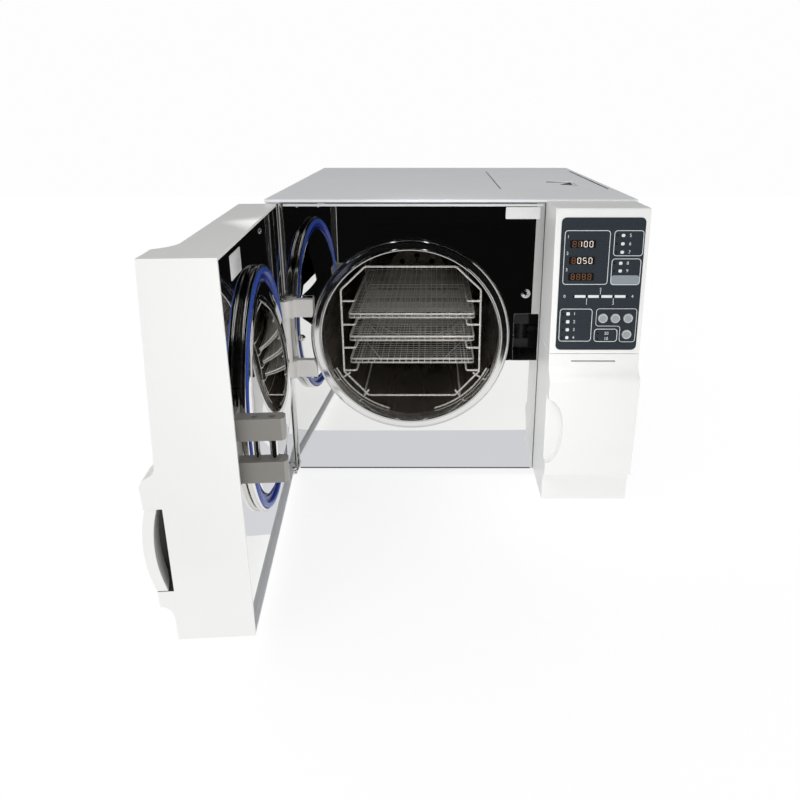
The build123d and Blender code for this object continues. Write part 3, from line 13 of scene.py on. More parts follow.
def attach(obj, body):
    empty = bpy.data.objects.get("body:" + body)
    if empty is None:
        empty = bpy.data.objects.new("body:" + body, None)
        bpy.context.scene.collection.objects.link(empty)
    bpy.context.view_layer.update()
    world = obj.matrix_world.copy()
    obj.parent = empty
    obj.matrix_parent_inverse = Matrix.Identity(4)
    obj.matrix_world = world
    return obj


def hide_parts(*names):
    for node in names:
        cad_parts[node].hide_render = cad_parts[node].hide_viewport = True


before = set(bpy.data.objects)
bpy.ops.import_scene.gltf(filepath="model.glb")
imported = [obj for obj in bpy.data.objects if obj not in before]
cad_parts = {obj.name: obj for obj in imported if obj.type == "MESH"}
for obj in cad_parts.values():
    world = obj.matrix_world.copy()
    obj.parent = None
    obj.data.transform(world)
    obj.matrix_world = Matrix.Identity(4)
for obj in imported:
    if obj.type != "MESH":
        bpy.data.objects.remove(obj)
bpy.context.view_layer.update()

LOG = logging.getLogger("autoclave")
MM = 0.001
MICRON = 0.000001
Point2 = Tuple[float, float]
Point3 = Tuple[float, float, float]
Object = bpy.types.Object

# Plan shift from the cabinet's middle to the frame's origin, in millimetres.
SHIFT = Vector((29.0, 172.0, 0.0))
# The chamber's axis and the mirror panel's face, from the cabinet's middle, in millimetres.
AXIS_X, AXIS_Z, PANEL_Y = -55.0, 219.0, -262.0
# Stands a piece drawn flat in XY upright, its top to the front.
UPRIGHT = Matrix.Rotation(math.radians(90), 4, "X")
# Noise and relief that all the finishes share.
BROAD_SCALE, BROAD_DETAIL, FINE_DETAIL = 14.0, 4.0, 3.0
NOISE_LOW, NOISE_HIGH = 0.3, 0.7
BUMP_STRENGTH, COAT_ROUGHNESS = 0.5, 0.08
# Facets of the CAD meshes that are merged, and edges that are rounded, in degrees.
FLAT_ANGLE, EDGE_ANGLE = 0.6, 30.0
# Every kind of ray that a stage card can show itself to.
RAYS = ("camera", "diffuse", "glossy", "transmission", "volume_scatter", "shadow")


def at(x: float, y: float, z: float) -> Vector:
    """A place counted from the cabinet's middle, in millimetres, as frame metres."""
    return (Vector((x, y, z)) + SHIFT) * MM


def moved(x: float, y: float, z: float) -> Matrix:
    """The move to a place counted from the cabinet's middle, in millimetres."""
    return Matrix.Translation(at(x, y, z))


def round_point(radius: float, degrees: float) -> Point2:
    """The point at a radius and an angle round the origin."""
    return radius * math.cos(math.radians(degrees)), radius * math.sin(math.radians(degrees))


def add_node(tree: bpy.types.NodeTree, kind: str, sockets: Dict[Union[int, str], object],
             **settings: object) -> bpy.types.Node:
    """Add a shader node and fill its inputs.

    Args:
        tree: the material's node tree.
        kind: the node's type, without the ShaderNode in front.
        sockets: by input, an output to link or a constant.
        settings: the node's own settings.

    Returns:
        The new node.
    """
    node = tree.nodes.new(f"ShaderNode{kind}")
    for key, value in settings.items():
        setattr(node, key, value)
    for title, value in sockets.items():
        if isinstance(value, bpy.types.NodeSocket):
            tree.links.new(value, node.inputs[title])
        else:
            node.inputs[title].default_value = value
    return node


class Grain(Enum):
    """How a finish's fine relief runs."""

    MOULDED = "moulded"
    BRUSHED = "brushed along x"
    POLISHED = "polished"
    TURNED = "turned"
    WOVEN = "woven"


# How the fine noise is stretched for the grains that run one way.
STRETCH = {Grain.BRUSHED: (0.03, 1.0, 1.0), Grain.TURNED: (1.0, 0.05, 1.0)}


@dataclass(frozen=True)
class Finish:
    """One procedural finish on Object coordinates.

    Args:
        name: material name.
        tone: main colour.
        shade: colour of the darker patches.
        metallic: 0 for plastic and paint, 1 for metal.
        roughness: middle roughness.
        spread: how far roughness wanders.
        grain: direction of the fine relief.
        scale: fineness of the relief, per metre.
        relief: depth of the relief in micrometres.
        coat: clear-coat weight.
        glow: emission strength in the main colour.
    """

    name: str
    tone: Point3
    shade: Point3
    metallic: float = 0.0
    roughness: float = 0.4
    spread: float = 0.06
    grain: Grain = Grain.MOULDED
    scale: float = 900.0
    relief: float = 20.0
    coat: float = 0.0
    glow: float = 0.0

    def make(self) -> bpy.types.Material:
        """Build the material once and hand it out again later.

        Returns:
            The Blender material.
        """
        title = f"{self.name}_finish"
        known = bpy.data.materials.get(title)
        if known:
            return known
        material = bpy.data.materials.new(title)
        material.use_nodes = True
        tree = material.node_tree
        tree.nodes.clear()
        place = add_node(tree, "TexCoord", {}).outputs["Object"]
        fine = (self.weave if self.grain is Grain.WOVEN else self.noise)(tree, place)
        broad = add_node(tree, "TexNoise", {"Scale": BROAD_SCALE, "Detail": BROAD_DETAIL, "Vector": place})
        blend = add_node(tree, "Mix", {0: broad.outputs[0], 6: (*self.shade, 1.0), 7: (*self.tone, 1.0)},
                         data_type="RGBA")
        rough = add_node(tree, "MapRange", {
            "From Min": NOISE_LOW, "From Max": NOISE_HIGH, "To Min": max(0.0, self.roughness - self.spread),
            "To Max": min(1.0, self.roughness + self.spread), "Value": fine})
        bump = add_node(tree, "Bump", {"Strength": BUMP_STRENGTH, "Distance": self.relief * MICRON,
                                       "Height": fine})
        skin = add_node(tree, "BsdfPrincipled", {
            "Metallic": self.metallic, "Coat Weight": self.coat, "Coat Roughness": COAT_ROUGHNESS,
            "Base Color": blend.outputs[2], "Roughness": rough.outputs[0], "Normal": bump.outputs[0]})
        if self.glow:
            skin.inputs["Emission Color"].default_value = (*self.tone, 1.0)
            skin.inputs["Emission Strength"].default_value = self.glow
        add_node(tree, "OutputMaterial", {0: skin.outputs[0]})
        return material

    def noise(self, tree: bpy.types.NodeTree, place: bpy.types.NodeSocket) -> bpy.types.NodeSocket:
        """Fine noise, stretched along the grain: the output with its height."""
        turn = add_node(tree, "Mapping", {"Scale": STRETCH.get(self.grain, (1.0, 1.0, 1.0)), "Vector": place})
        return add_node(tree, "TexNoise", {"Scale": self.scale, "Detail": FINE_DETAIL,
                                           "Vector": turn.outputs[0]}).outputs[0]

    def weave(self, tree: bpy.types.NodeTree, place: bpy.types.NodeSocket) -> bpy.types.NodeSocket:
        """A plain weave from two crossed waves: the output with its height."""
        waves = [add_node(tree, "TexWave", {"Scale": self.scale, "Vector": place}, bands_direction=axis)
                 for axis in ("X", "Y")]
        return add_node(tree, "Math", {i: wave.outputs["Fac"] for i, wave in enumerate(waves)},
                        operation="MAXIMUM").outputs[0]


ENAMEL = Finish("white_enamel", (0.83, 0.84, 0.84), (0.79, 0.8, 0.8), roughness=0.32, scale=700, relief=30)
COVER = Finish("grey_enamel", (0.92, 0.94, 0.96), (0.88, 0.9, 0.92), roughness=0.38, scale=1400, relief=40)
MOULD = Finish("white_plastic", (0.9, 0.9, 0.89), (0.87, 0.87, 0.86), roughness=0.36, scale=1600)
MIRROR = Finish("mirror_steel", (0.88, 0.88, 0.87), (0.86, 0.86, 0.85), metallic=1.0, roughness=0.008,
                spread=0.006, grain=Grain.POLISHED, scale=60, relief=0.4)
POLISH = Finish("polished_steel", (0.8, 0.79, 0.77), (0.74, 0.73, 0.71), metallic=1.0, roughness=0.09,
                spread=0.03, grain=Grain.TURNED, scale=420, relief=4)
VESSEL = Finish("vessel_steel", (0.36, 0.31, 0.26), (0.11, 0.092, 0.075), metallic=0.85, roughness=0.22,
                spread=0.12, grain=Grain.TURNED, scale=60, relief=10)
WIRE = Finish("wire_steel", (0.88, 0.86, 0.81), (0.78, 0.75, 0.7), metallic=0.45, roughness=0.26,
              grain=Grain.POLISHED, scale=500, relief=8)
MESH = Finish("mesh_steel", (0.93, 0.91, 0.86), (0.82, 0.79, 0.73), metallic=0.2, roughness=0.32,
              grain=Grain.POLISHED, scale=500, relief=8)
YOKE = Finish("yoke_grey", (0.38, 0.365, 0.34), (0.34, 0.325, 0.3), metallic=0.35, roughness=0.36,
              scale=500, relief=10)
BRACKET = Finish("bracket_grey", (0.84, 0.82, 0.79), (0.78, 0.76, 0.73), metallic=0.1, roughness=0.32,
                 spread=0.02, scale=120, relief=1)
BLACK = Finish("black_plastic", (0.032, 0.031, 0.031), (0.021, 0.021, 0.021), roughness=0.42, scale=1200)
SOOT = Finish("black_drum", (0.035, 0.035, 0.036), (0.022, 0.022, 0.023), metallic=0.5, roughness=0.28,
              grain=Grain.TURNED, scale=500)
GASKET = Finish("gasket_blue", (0.003, 0.028, 0.3), (0.002, 0.018, 0.22), roughness=0.34, scale=500,
                relief=30, coat=0.15)
GASKET_LIP = Finish("gasket_lip", (0.03, 0.085, 0.42), (0.022, 0.065, 0.34), roughness=0.3, scale=500)
FASCIA = Finish("fascia_slate", (0.034, 0.044, 0.054), (0.029, 0.038, 0.047), roughness=0.3, scale=1800,
                relief=10, coat=0.2)
WINDOW = Finish("window_dark", (0.016, 0.012, 0.012), (0.01, 0.008, 0.008), roughness=0.16, relief=4)
PRINT = Finish("print_white", (0.8, 0.84, 0.85), (0.72, 0.76, 0.78), roughness=0.42, scale=1500, relief=4)
PRINT_GREY = Finish("print_grey", (0.3, 0.34, 0.37), (0.26, 0.3, 0.33), roughness=0.42, scale=1500)
SEGMENT_ON = Finish("segment_lit", (0.86, 0.8, 0.74), (0.8, 0.72, 0.66), glow=0.35)
SEGMENT_OFF = Finish("segment_dull", (0.26, 0.12, 0.05), (0.2, 0.09, 0.04))
LAMP = Finish("lamp_dark", (0.02, 0.02, 0.025), (0.012, 0.012, 0.016), roughness=0.15, coat=0.5)
CAP = Finish("button_silver", (0.52, 0.55, 0.57), (0.46, 0.49, 0.51), metallic=0.3, roughness=0.3)
CAP_RING = Finish("button_ring", (0.78, 0.8, 0.81), (0.72, 0.74, 0.75), metallic=0.2, roughness=0.28)
RUBBER = Finish("foot_rubber", (0.03, 0.03, 0.03), (0.02, 0.02, 0.02), roughness=0.75, relief=50)
ZINC = Finish("zinc_steel", (0.56, 0.57, 0.58), (0.44, 0.45, 0.47), metallic=1.0, roughness=0.36,
              spread=0.12, grain=Grain.BRUSHED, scale=240, relief=10)
LAGGING = Finish("lagging", (0.74, 0.71, 0.62), (0.62, 0.58, 0.48), roughness=0.9, grain=Grain.WOVEN,
                 scale=160, relief=300)
BOARD = Finish("board_green", (0.03, 0.2, 0.08), (0.02, 0.14, 0.06), roughness=0.35, scale=600, coat=0.3)
BRASS = Finish("brass_fitting", (0.72, 0.55, 0.28), (0.58, 0.42, 0.2), metallic=1.0, roughness=0.25,
               grain=Grain.TURNED, scale=400)
COPPER = Finish("copper_pipe", (0.75, 0.42, 0.28), (0.6, 0.32, 0.2), metallic=1.0, roughness=0.28, scale=300)
TANK = Finish("tank_plastic", (0.78, 0.8, 0.82), (0.72, 0.74, 0.77), roughness=0.3, scale=300)
LID = Finish("lid_grey", (0.9, 0.92, 0.94), (0.86, 0.88, 0.9), roughness=0.42, scale=1500, relief=40)
RIM = Finish("rim_steel", (0.84, 0.83, 0.81), (0.79, 0.78, 0.76), metallic=1.0, roughness=0.16, spread=0.04,
             grain=Grain.POLISHED, scale=300, relief=3)
# Painted reflection: a pale bluish white on the hollow's bottom wall, in place of the bright reflection of its
# steel.
FOLD_PAINTED_REFLECTION = Finish("fold_painted_reflection", (0.93, 0.95, 0.98), (0.89, 0.91, 0.95), roughness=0.3, relief=10)
# Painted shade for the grip's notch, a dark recess.
NOTCH_PAINTED_SHADE = Finish("notch_painted_shade", (0.06, 0.057, 0.053), (0.025, 0.024, 0.022), roughness=0.5, scale=500)
# Dark finish for the lid's dark joints, and also for painted shade: the shadow gap beside the hinge-side trim,
# the contact shadow along the mirror panel's foot and the dark facet in the finger pull.
SEAM_AND_SHADOW = Finish("seam_and_shadow_dark", (0.1, 0.1, 0.1), (0.07, 0.07, 0.07), roughness=0.8, scale=600)
PLATE = Finish("bare_plate", (0.88, 0.88, 0.88), (0.84, 0.84, 0.84), roughness=0.3, coat=0.3)


class Bench:
    """Blender operators wrapped as a modeller uses them."""

    @staticmethod
    def clear() -> None:
        """Leave edit mode and deselect everything."""
        if bpy.context.object and bpy.context.object.mode != "OBJECT":
            bpy.ops.object.mode_set(mode="OBJECT")
        bpy.ops.object.select_all(action="DESELECT")

    @staticmethod
    def pick(piece: Object) -> None:
        """Make one piece the only selected and active one."""
        Bench.clear()
        piece.select_set(True)
        bpy.context.view_layer.objects.active = piece

    @staticmethod
    @contextmanager
    def editing(piece: Object, mode: str = "FACE", whole: bool = True) -> Iterator[bmesh.types.BMesh]:
        """Edit mode on a piece.

        Args:
            piece: the mesh object.
            mode: VERT, EDGE or FACE.
            whole: whether everything is selected at first, or nothing.

        Yields:
            The edit mesh.
        """
        Bench.pick(piece)
        bpy.ops.object.mode_set(mode="EDIT")
        bpy.ops.mesh.select_mode(type=mode)
        bpy.ops.mesh.select_all(action="DESELECT")
        if whole:
            bpy.ops.mesh.select_all(action="SELECT")
        yield bmesh.from_edit_mesh(piece.data)
        bpy.ops.object.mode_set(mode="OBJECT")

    @staticmethod
    def settle(piece: Object) -> Object:
        """Apply the piece's place to its mesh."""
        Bench.pick(piece)
        bpy.ops.object.transform_apply(location=True, rotation=True, scale=True)
        return piece

    @staticmethod
    def place(piece: Object, matrix: Matrix) -> Object:
        """Set a piece down at a place and apply it to its mesh."""
        piece.matrix_world = matrix
        return Bench.settle(piece)

    @staticmethod
    def modify(piece: Object, kind: str, **settings: object) -> None:
        """Add one modifier with its settings and apply it."""
        Bench.pick(piece)
        modifier = piece.modifiers.new(kind.lower(), kind)
        for key, value in settings.items():
            setattr(modifier, key, value)
        bpy.ops.object.modifier_apply(modifier=modifier.name)

    @staticmethod
    def cut(piece: Object, cutter: Object) -> None:
        """Cut one piece out of another and remove the cutter."""
        Bench.modify(piece, "BOOLEAN", object=cutter, operation="DIFFERENCE", solver="EXACT")
        bpy.data.objects.remove(cutter)

    @staticmethod
    def smooth(piece: Object, degrees: float) -> None:
        """Shade smooth up to an angle."""
        Bench.pick(piece)
        bpy.ops.object.shade_smooth_by_angle(angle=math.radians(degrees))

    @staticmethod
    def paint(piece: Object, finishes: Sequence[Finish], choose: Callable[[Vector, Vector], int]) -> None:
        """Give each face one of several finishes.

        Args:
            piece: the mesh object.
            finishes: the finishes that come after those that the piece has.
            choose: gives the finish's number from a face's centre and normal.
        """
        for finish in finishes:
            piece.data.materials.append(finish.make())
        for face in piece.data.polygons:
            face.material_index = choose(face.center, face.normal)

    @staticmethod
    def outward(piece: Object) -> Object:
        """Merge doubles and turn all faces outwards."""
        with Bench.editing(piece):
            bpy.ops.mesh.remove_doubles(threshold=0.000004)
            bpy.ops.mesh.normals_make_consistent(inside=False)
        return piece

    @staticmethod
    def lift(height: float) -> None:
        """Extrude the selected faces upwards, by millimetres."""
        bpy.ops.mesh.extrude_region_move(TRANSFORM_OT_translate={"value": (0, 0, height * MM)})

    @staticmethod
    def join(pieces: Sequence[Object]) -> Object:
        """Join meshes into the first one."""
        Bench.pick(pieces[0])
        for piece in pieces[1:]:
            piece.select_set(True)
        if len(pieces) > 1:
            bpy.ops.object.join()
        return pieces[0]

    @staticmethod
    def twin(piece: Object) -> Object:
        """A copy with its own mesh."""
        copy = piece.copy()
        copy.data = piece.data.copy()
        bpy.context.scene.collection.objects.link(copy)
        return copy

    @staticmethod
    def copies(piece: Object, places: Sequence[Matrix]) -> List[Object]:
        """Set a piece down at the first place and a copy of it at each other one."""
        made = [piece] + [Bench.twin(piece) for _ in places[1:]]
        return [Bench.place(copy, place) for copy, place in zip(made, places)]

    @staticmethod
    def block(size: Point3, place: Matrix) -> Object:
        """A plain block of a size in millimetres, about its place."""
        Bench.clear()
        bpy.ops.mesh.primitive_cube_add(size=1.0)
        piece = bpy.context.object
        piece.scale = Vector(size) * MM
        return Bench.place(Bench.settle(piece), place)

    @staticmethod
    def outline(points: Sequence[Vector], fill: str) -> Object:
        """A closed outline through points in metres, its fill NOTHING or NGON."""
        Bench.clear()
        bpy.ops.mesh.primitive_circle_add(vertices=len(points), radius=0.01, fill_type=fill)
        piece = bpy.context.object
        with Bench.editing(piece, "VERT") as mesh:
            mesh.verts.ensure_lookup_table()
            for vertex, point in zip(mesh.verts, points):
                vertex.co = point
            bmesh.update_edit_mesh(piece.data)
        return piece

    @staticmethod
    def turned(outline: Sequence[Point2], steps: int) -> Object:
        """A solid of revolution about the Y axis.

        Args:
            outline: closed (radius, y) outline in millimetres.
            steps: how many steps round.

        Returns:
            The turned piece, in metres, about the world's Y axis.
        """
        piece = Bench.outline([Vector((radius, y, 0.0)) * MM for radius, y in outline], "NOTHING")
        with Bench.editing(piece, "VERT"):
            bpy.ops.mesh.spin(steps=steps, angle=math.tau, center=(0, 0, 0), axis=(0, 1, 0))
        return Bench.outward(piece)

    @staticmethod
    def slab(size: Point2, thick: float, corner: float, edge: float = 0.0) -> Object:
        """A rounded flat slab lying in XY, its underside at z = 0.

        Args:
            size: width and height in millimetres.
            thick: thickness in millimetres.
            corner: corner radius.
            edge: rounding of the upper rim.

        Returns:
            The slab, in metres.
        """
        Bench.clear()
        bpy.ops.mesh.primitive_plane_add(size=1.0)
        piece = bpy.context.object
        piece.scale = (size[0] * MM, size[1] * MM, 1.0)
        Bench.settle(piece)
        if corner:
            with Bench.editing(piece, "VERT"):
                bpy.ops.mesh.bevel(offset=corner * MM, segments=5, affect="VERTICES")
        with Bench.editing(piece):
            Bench.lift(thick)
        Bench.outward(piece)
        if edge:
            with Bench.editing(piece, whole=False) as mesh:
                for face in mesh.faces:
                    face.select = face.normal.z > 0.9
                bmesh.update_edit_mesh(piece.data)
                bpy.ops.mesh.region_to_loop()
                bpy.ops.mesh.bevel(offset=edge * MM, segments=2)
        return piece

    @staticmethod
    def line_frame(size: Point2, corner: float, line: float, thick: float) -> Object:
        """A thin rounded outline lying in XY.

        Args:
            size: outer width and height in millimetres.
            corner: corner radius.
            line: line width.
            thick: line thickness.

        Returns:
            The outline, in metres.
        """
        piece = Bench.slab(size, 0.01, corner)
        with Bench.editing(piece, whole=False) as mesh:
            gone = [face for face in mesh.faces if face.normal.z < 0.9]
            bmesh.ops.delete(mesh, geom=gone, context="FACES")
            bmesh.update_edit_mesh(piece.data)
            bpy.ops.mesh.select_all(action="SELECT")
            bpy.ops.mesh.inset(thickness=line * MM, depth=0.0)
            bpy.ops.mesh.delete(type="FACE")
            bpy.ops.mesh.select_all(action="SELECT")
            Bench.lift(thick)
        return Bench.outward(piece)

    @staticmethod
    def wire(points: Sequence[Vector], radius: float, closed: bool = False, bend: float = 0.0,
             sides: int = 5) -> Object:
        """A round wire through points in metres, its corners bent round.

        Args:
            points: the wire's corners.
            radius: wire radius in millimetres.
            closed: whether the ends meet.
            bend: bend radius in millimetres.
            sides: facets of the wire's section, per half.

        Returns:
            The wire as a mesh.
        """
        path = rounded(points, bend * MM, closed) if bend else list(points)
        data = bpy.data.curves.new("wire", "CURVE")
        data.dimensions = "3D"
        data.bevel_depth = radius * MM
        data.bevel_resolution = max(0, sides - 2)
        data.use_fill_caps = not closed
        spline = data.splines.new("POLY")
        spline.points.add(len(path) - 1)
        for spot, place in zip(spline.points, path):
            spot.co = (*place, 1.0)
        spline.use_cyclic_u = closed
        piece = bpy.data.objects.new("wire", data)
        bpy.context.scene.collection.objects.link(piece)
        Bench.pick(piece)
        bpy.ops.object.convert(target="MESH")
        return bpy.context.object


def rounded(points: Sequence[Vector], radius: float, closed: bool) -> List[Vector]:
    """Replace a path's corners by short arcs.

    Args:
        points: the path's corners.
        radius: bend radius in metres.
        closed: whether the path is a loop.

    Returns:
        The denser path.
    """
    steps, longest = 6, 0.45
    path: List[Vector] = []
    for index, corner in enumerate(points):
        if not closed and index in (0, len(points) - 1):
            path.append(corner)
            continue
        before = points[index - 1] - corner
        after = points[(index + 1) % len(points)] - corner
        half = math.acos(max(-1.0, min(1.0, before.normalized().dot(after.normalized())))) / 2
        reach = min(radius / math.tan(half), before.length * longest, after.length * longest)
        start = corner + before.normalized() * reach
        end = corner + after.normalized() * reach
        for step in range(steps + 1):
            t = step / steps
            path.append(start * (1 - t) ** 2 + corner * 2 * t * (1 - t) + end * t ** 2)
    return path


@dataclass
class Fitter:
    """Names, dresses and seats finished pieces."""

    made: int = 0

    def seat(self, piece: Object, name: str, body: str, slot: str, finish: Optional[Finish],
             nodes: Sequence[str] = (), angle: float = 32.0) -> Object:
        """Give a piece its name, finish and body.

        Args:
            piece: the finished mesh.
            name: its name.
            body: the body it rides on.
            slot: the record's material slot; not used.
            finish: its finish; None keeps the piece's own.
            nodes: CAD nodes it stands for.
            angle: smoothing angle in degrees.

        Returns:
            The same piece.
        """
        piece.name = name
        piece.data.name = name
        Bench.settle(piece)
        if finish is not None:
            piece.data.materials.clear()
            piece.data.materials.append(finish.make())
        Bench.smooth(piece, angle)
        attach(piece, body)
        if nodes:
            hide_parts(*nodes)
        self.made += 1
        LOG.info("%s rides on %s", name, body)
        return piece

    def soften(self, node: str, body: str, slot: str, finish: Finish, width: float, segments: int = 2,
               cutter: Optional[Object] = None) -> Object:
        """Copy a CAD node, clean its facets and round its edges.

        Args:
            node: the CAD node.
            body: the body it rides on.
            slot: the record's material slot; not used.
            finish: its finish.
            width: edge rounding in millimetres.
            segments: steps of the rounding.
            cutter: a block cut away before the rounding.

        Returns:
            The rounded piece, which stands for the node.
        """
        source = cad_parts[node]
        piece = bpy.data.objects.new(node, source.data.copy())
        bpy.context.scene.collection.objects.link(piece)
        with Bench.editing(piece, "VERT"):
            bpy.ops.mesh.remove_doubles(threshold=0.00001)
            bpy.ops.mesh.dissolve_limited(angle_limit=math.radians(FLAT_ANGLE))
        if cutter:
            Bench.cut(piece, cutter)
        Bench.modify(piece, "BEVEL", width=width * MM, segments=segments, limit_method="ANGLE",
                     angle_limit=math.radians(EDGE_ANGLE), use_clamp_overlap=True)
        self.seat(piece, f"{node}_skin", body, slot, finish, (node,), 40.0)
        Bench.modify(piece, "WEIGHTED_NORMAL", weight=100, keep_sharp=True)
        return piece

    def dress(self, nodes: Dict[str, Finish]) -> None:
        """Give CAD nodes that stay their finishes, by node name."""
        for node, finish in nodes.items():
            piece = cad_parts[node]
            piece.data.materials.clear()
            piece.data.materials.append(finish.make())
            LOG.info("%s keeps its solid, in %s", node, finish.name)


@dataclass
class Casing:
    """Sheet-metal case: cover, sides, rear, pan, feet and their screws."""

    fit: Fitter
    back_y: float = 268.0
    screw_x: float = 233.0
    screw_z: Tuple[float, ...] = (30.0, 211.0, 392.0)

    def build(self) -> None:
        """Round and dress the case."""
        for row in (("top_cover", "cabinet", "grey_enamel", COVER, 0.6),
                    ("side_panel_left", "cabinet", "white_enamel", ENAMEL, 0.5),
                    ("side_panel_right", "cabinet", "white_enamel", ENAMEL, 0.5),
                    ("base_pan", "cabinet", "zinc_steel", ZINC, 0.5),
                    ("feet", "cabinet", "foot_rubber", RUBBER, 0.8)):
            self.fit.soften(*row)
        self.fit.dress({"rear_panel": ENAMEL, "front_bulkhead": ZINC})
        self.front_trim()
        self.screws()
        self.bare_plate()

    def front_trim(self) -> None:
        """Strip under the cover's lip, polished trim at the hinge side with a dark strip of painted shade for
        the shadow gap beside it, and a dark strip of painted contact shadow along the panel's foot.
        """
        for name, finish, x0, x1, z0, z1, out in (
            ("cover_strip", ENAMEL, -222.0, 121.5, 400.6, 403.9, 1.2),
            ("post_trim", RIM, -228.4, -222.6, 16.0, 404.0, 1.0),
            # painted shade: a dark strip standing for the shadow gap beside the trim, so the door's mirror shows
            # it dark
            ("post_shadow_strip", SEAM_AND_SHADOW, -237.0, -228.4, 16.0, 404.0, 0.5),
            # painted contact shadow: a dark strip along the mirror panel's bottom edge
            ("panel_contact_shadow", SEAM_AND_SHADOW, -222.6, 121.5, 12.6, 14.4, 0.5),
        ):
            strip = Bench.slab((x1 - x0, z1 - z0), out, 0.4, 0.3)
            Bench.place(strip, moved((x0 + x1) / 2, PANEL_Y, (z0 + z1) / 2) @ UPRIGHT)
            self.fit.seat(strip, name, "cabinet", "white_enamel", finish)

    def cross_head(self, radius: float, place: Matrix) -> Object:
        """A domed screw head on its washer, with a cross cut into it.

        Args:
            radius: washer radius in millimetres.
            place: where the washer sits.

        Returns:
            The head.
        """
        outline = [(0.0, 0.0), (radius, 0.0), (radius, -0.8), (radius - 0.5, -1.2), (radius * 0.8, -1.3),
                   (radius * 0.78, -2.2), (radius * 0.6, -3.4), (radius * 0.3, -4.0), (0.0, -4.1)]
        head = Bench.turned(outline, 32)
        for turn in (20, 110):
            slot = Matrix.Translation((0.0, -4.3 * MM, 0.0)) @ Matrix.Rotation(math.radians(turn), 4, "Y")
            Bench.cut(head, Bench.block((radius * 1.15, 3.0, 1.1), slot))
        return Bench.place(head, place)

    def screws(self) -> None:
        """Cross-head screws in front and domed ones behind, in place of the plain ones."""
        parts = [self.cross_head(6.3, moved(103.8, PANEL_Y, 282.2)),
                 self.cross_head(4.9, moved(-207.5, PANEL_Y - 3.0, AXIS_Z))]
        dome = [(0.0, 0.0), (4.0, 0.0), (4.0, 1.0), (3.2, 1.7), (1.6, 2.0), (1.4, 1.2), (0.0, 1.1)]
        places = [moved(x, self.back_y, z) for x in (-self.screw_x, self.screw_x) for z in self.screw_z]
        parts += Bench.copies(Bench.turned(dome, 20), places)
        self.fit.seat(Bench.join(parts), "case_screw_heads", "cabinet", "polished_steel", POLISH,
                      ("case_screws",))

    def bare_plate(self) -> None:
        """Plain plate where the panel carries a small label."""
        plate = Bench.place(Bench.slab((45.6, 15.6), 0.4, 1.5, 0.15), moved(95.5, PANEL_Y, 391.8) @ UPRIGHT)
        self.fit.seat(plate, "bare_plate_panel", "cabinet", "white_enamel", PLATE)


@dataclass
class Chamber:
    """Ring, vessel, lagging and the mirror panel round them."""

    fit: Fitter
    bore: float = 123.5
    wall: float = 3.0
    y0: float = -245.0
    barrel: float = 370.0
    knuckle: float = 25.0
    crown: float = 240.0

    def build(self) -> None:
        """Turn the ring and vessel, dress the rest."""
        self.ring()
        self.vessel()
        self.fit.soften("mirror_front_panel", "cabinet", "mirror_steel", MIRROR, 0.25)
        self.fit.dress({"band_heater": ZINC, "chamber_insulation": LAGGING, "inner_supports": ZINC})
        self.fit.soften("steam_baffle", "cabinet", "satin_steel", VESSEL, 0.5)

    def ring(self) -> None:
        """The polished sealing ring with its rolled edges."""
        outline = [(123.5, -245.0), (123.5, -267.6), (123.9, -269.0), (124.8, -269.8), (125.9, -269.9),
                   (126.7, -269.3), (127.0, -268.6), (128.2, -268.4), (133.4, -268.9), (135.6, -268.7),
                   (136.9, -267.9), (137.6, -266.6), (137.7, -265.0), (137.7, -245.0)]
        ring = Bench.place(Bench.turned(outline, 144), moved(AXIS_X, 0.0, AXIS_Z))
        self.fit.seat(ring, "sealing_ring", "cabinet", "polished_steel", POLISH, ("chamber_ring",), 60.0)

    def dish(self, grow: float) -> List[Point2]:
        """Points of the dished end, from the barrel to the axis.

        Args:
            grow: how far outside the vessel's inner face, in millimetres.

        Returns:
            (radius, y) points.
        """
        knuckle, crown = self.knuckle + grow, self.crown + grow
        y1 = self.y0 + self.barrel
        side = self.bore + grow - knuckle
        rise = math.sqrt((crown - knuckle) ** 2 - side ** 2)
        lean = math.atan2(rise, side)
        points = [(side + knuckle * math.cos(lean * i / 8), y1 + knuckle * math.sin(lean * i / 8))
                  for i in range(9)]
        span = math.atan2(side, rise)
        turns = [span * (1 - i / 14) for i in range(1, 15)]
        return points + [(crown * math.sin(turn), y1 - rise + crown * math.cos(turn)) for turn in turns]

    def vessel(self) -> None:
        """Barrel with a dished end, both walls."""
        rows = 12
        inner = [(self.bore, self.y0 + self.barrel * i / rows) for i in range(rows)] + self.dish(0.0)
        outer = self.dish(self.wall)[::-1] + [(self.bore + self.wall, self.y0)]
        vessel = Bench.place(Bench.turned(inner + outer, 128), moved(AXIS_X, 0.0, AXIS_Z))
        self.fit.seat(vessel, "vessel_wall", "cabinet", "satin_steel", VESSEL, ("chamber_vessel",), 50.0)


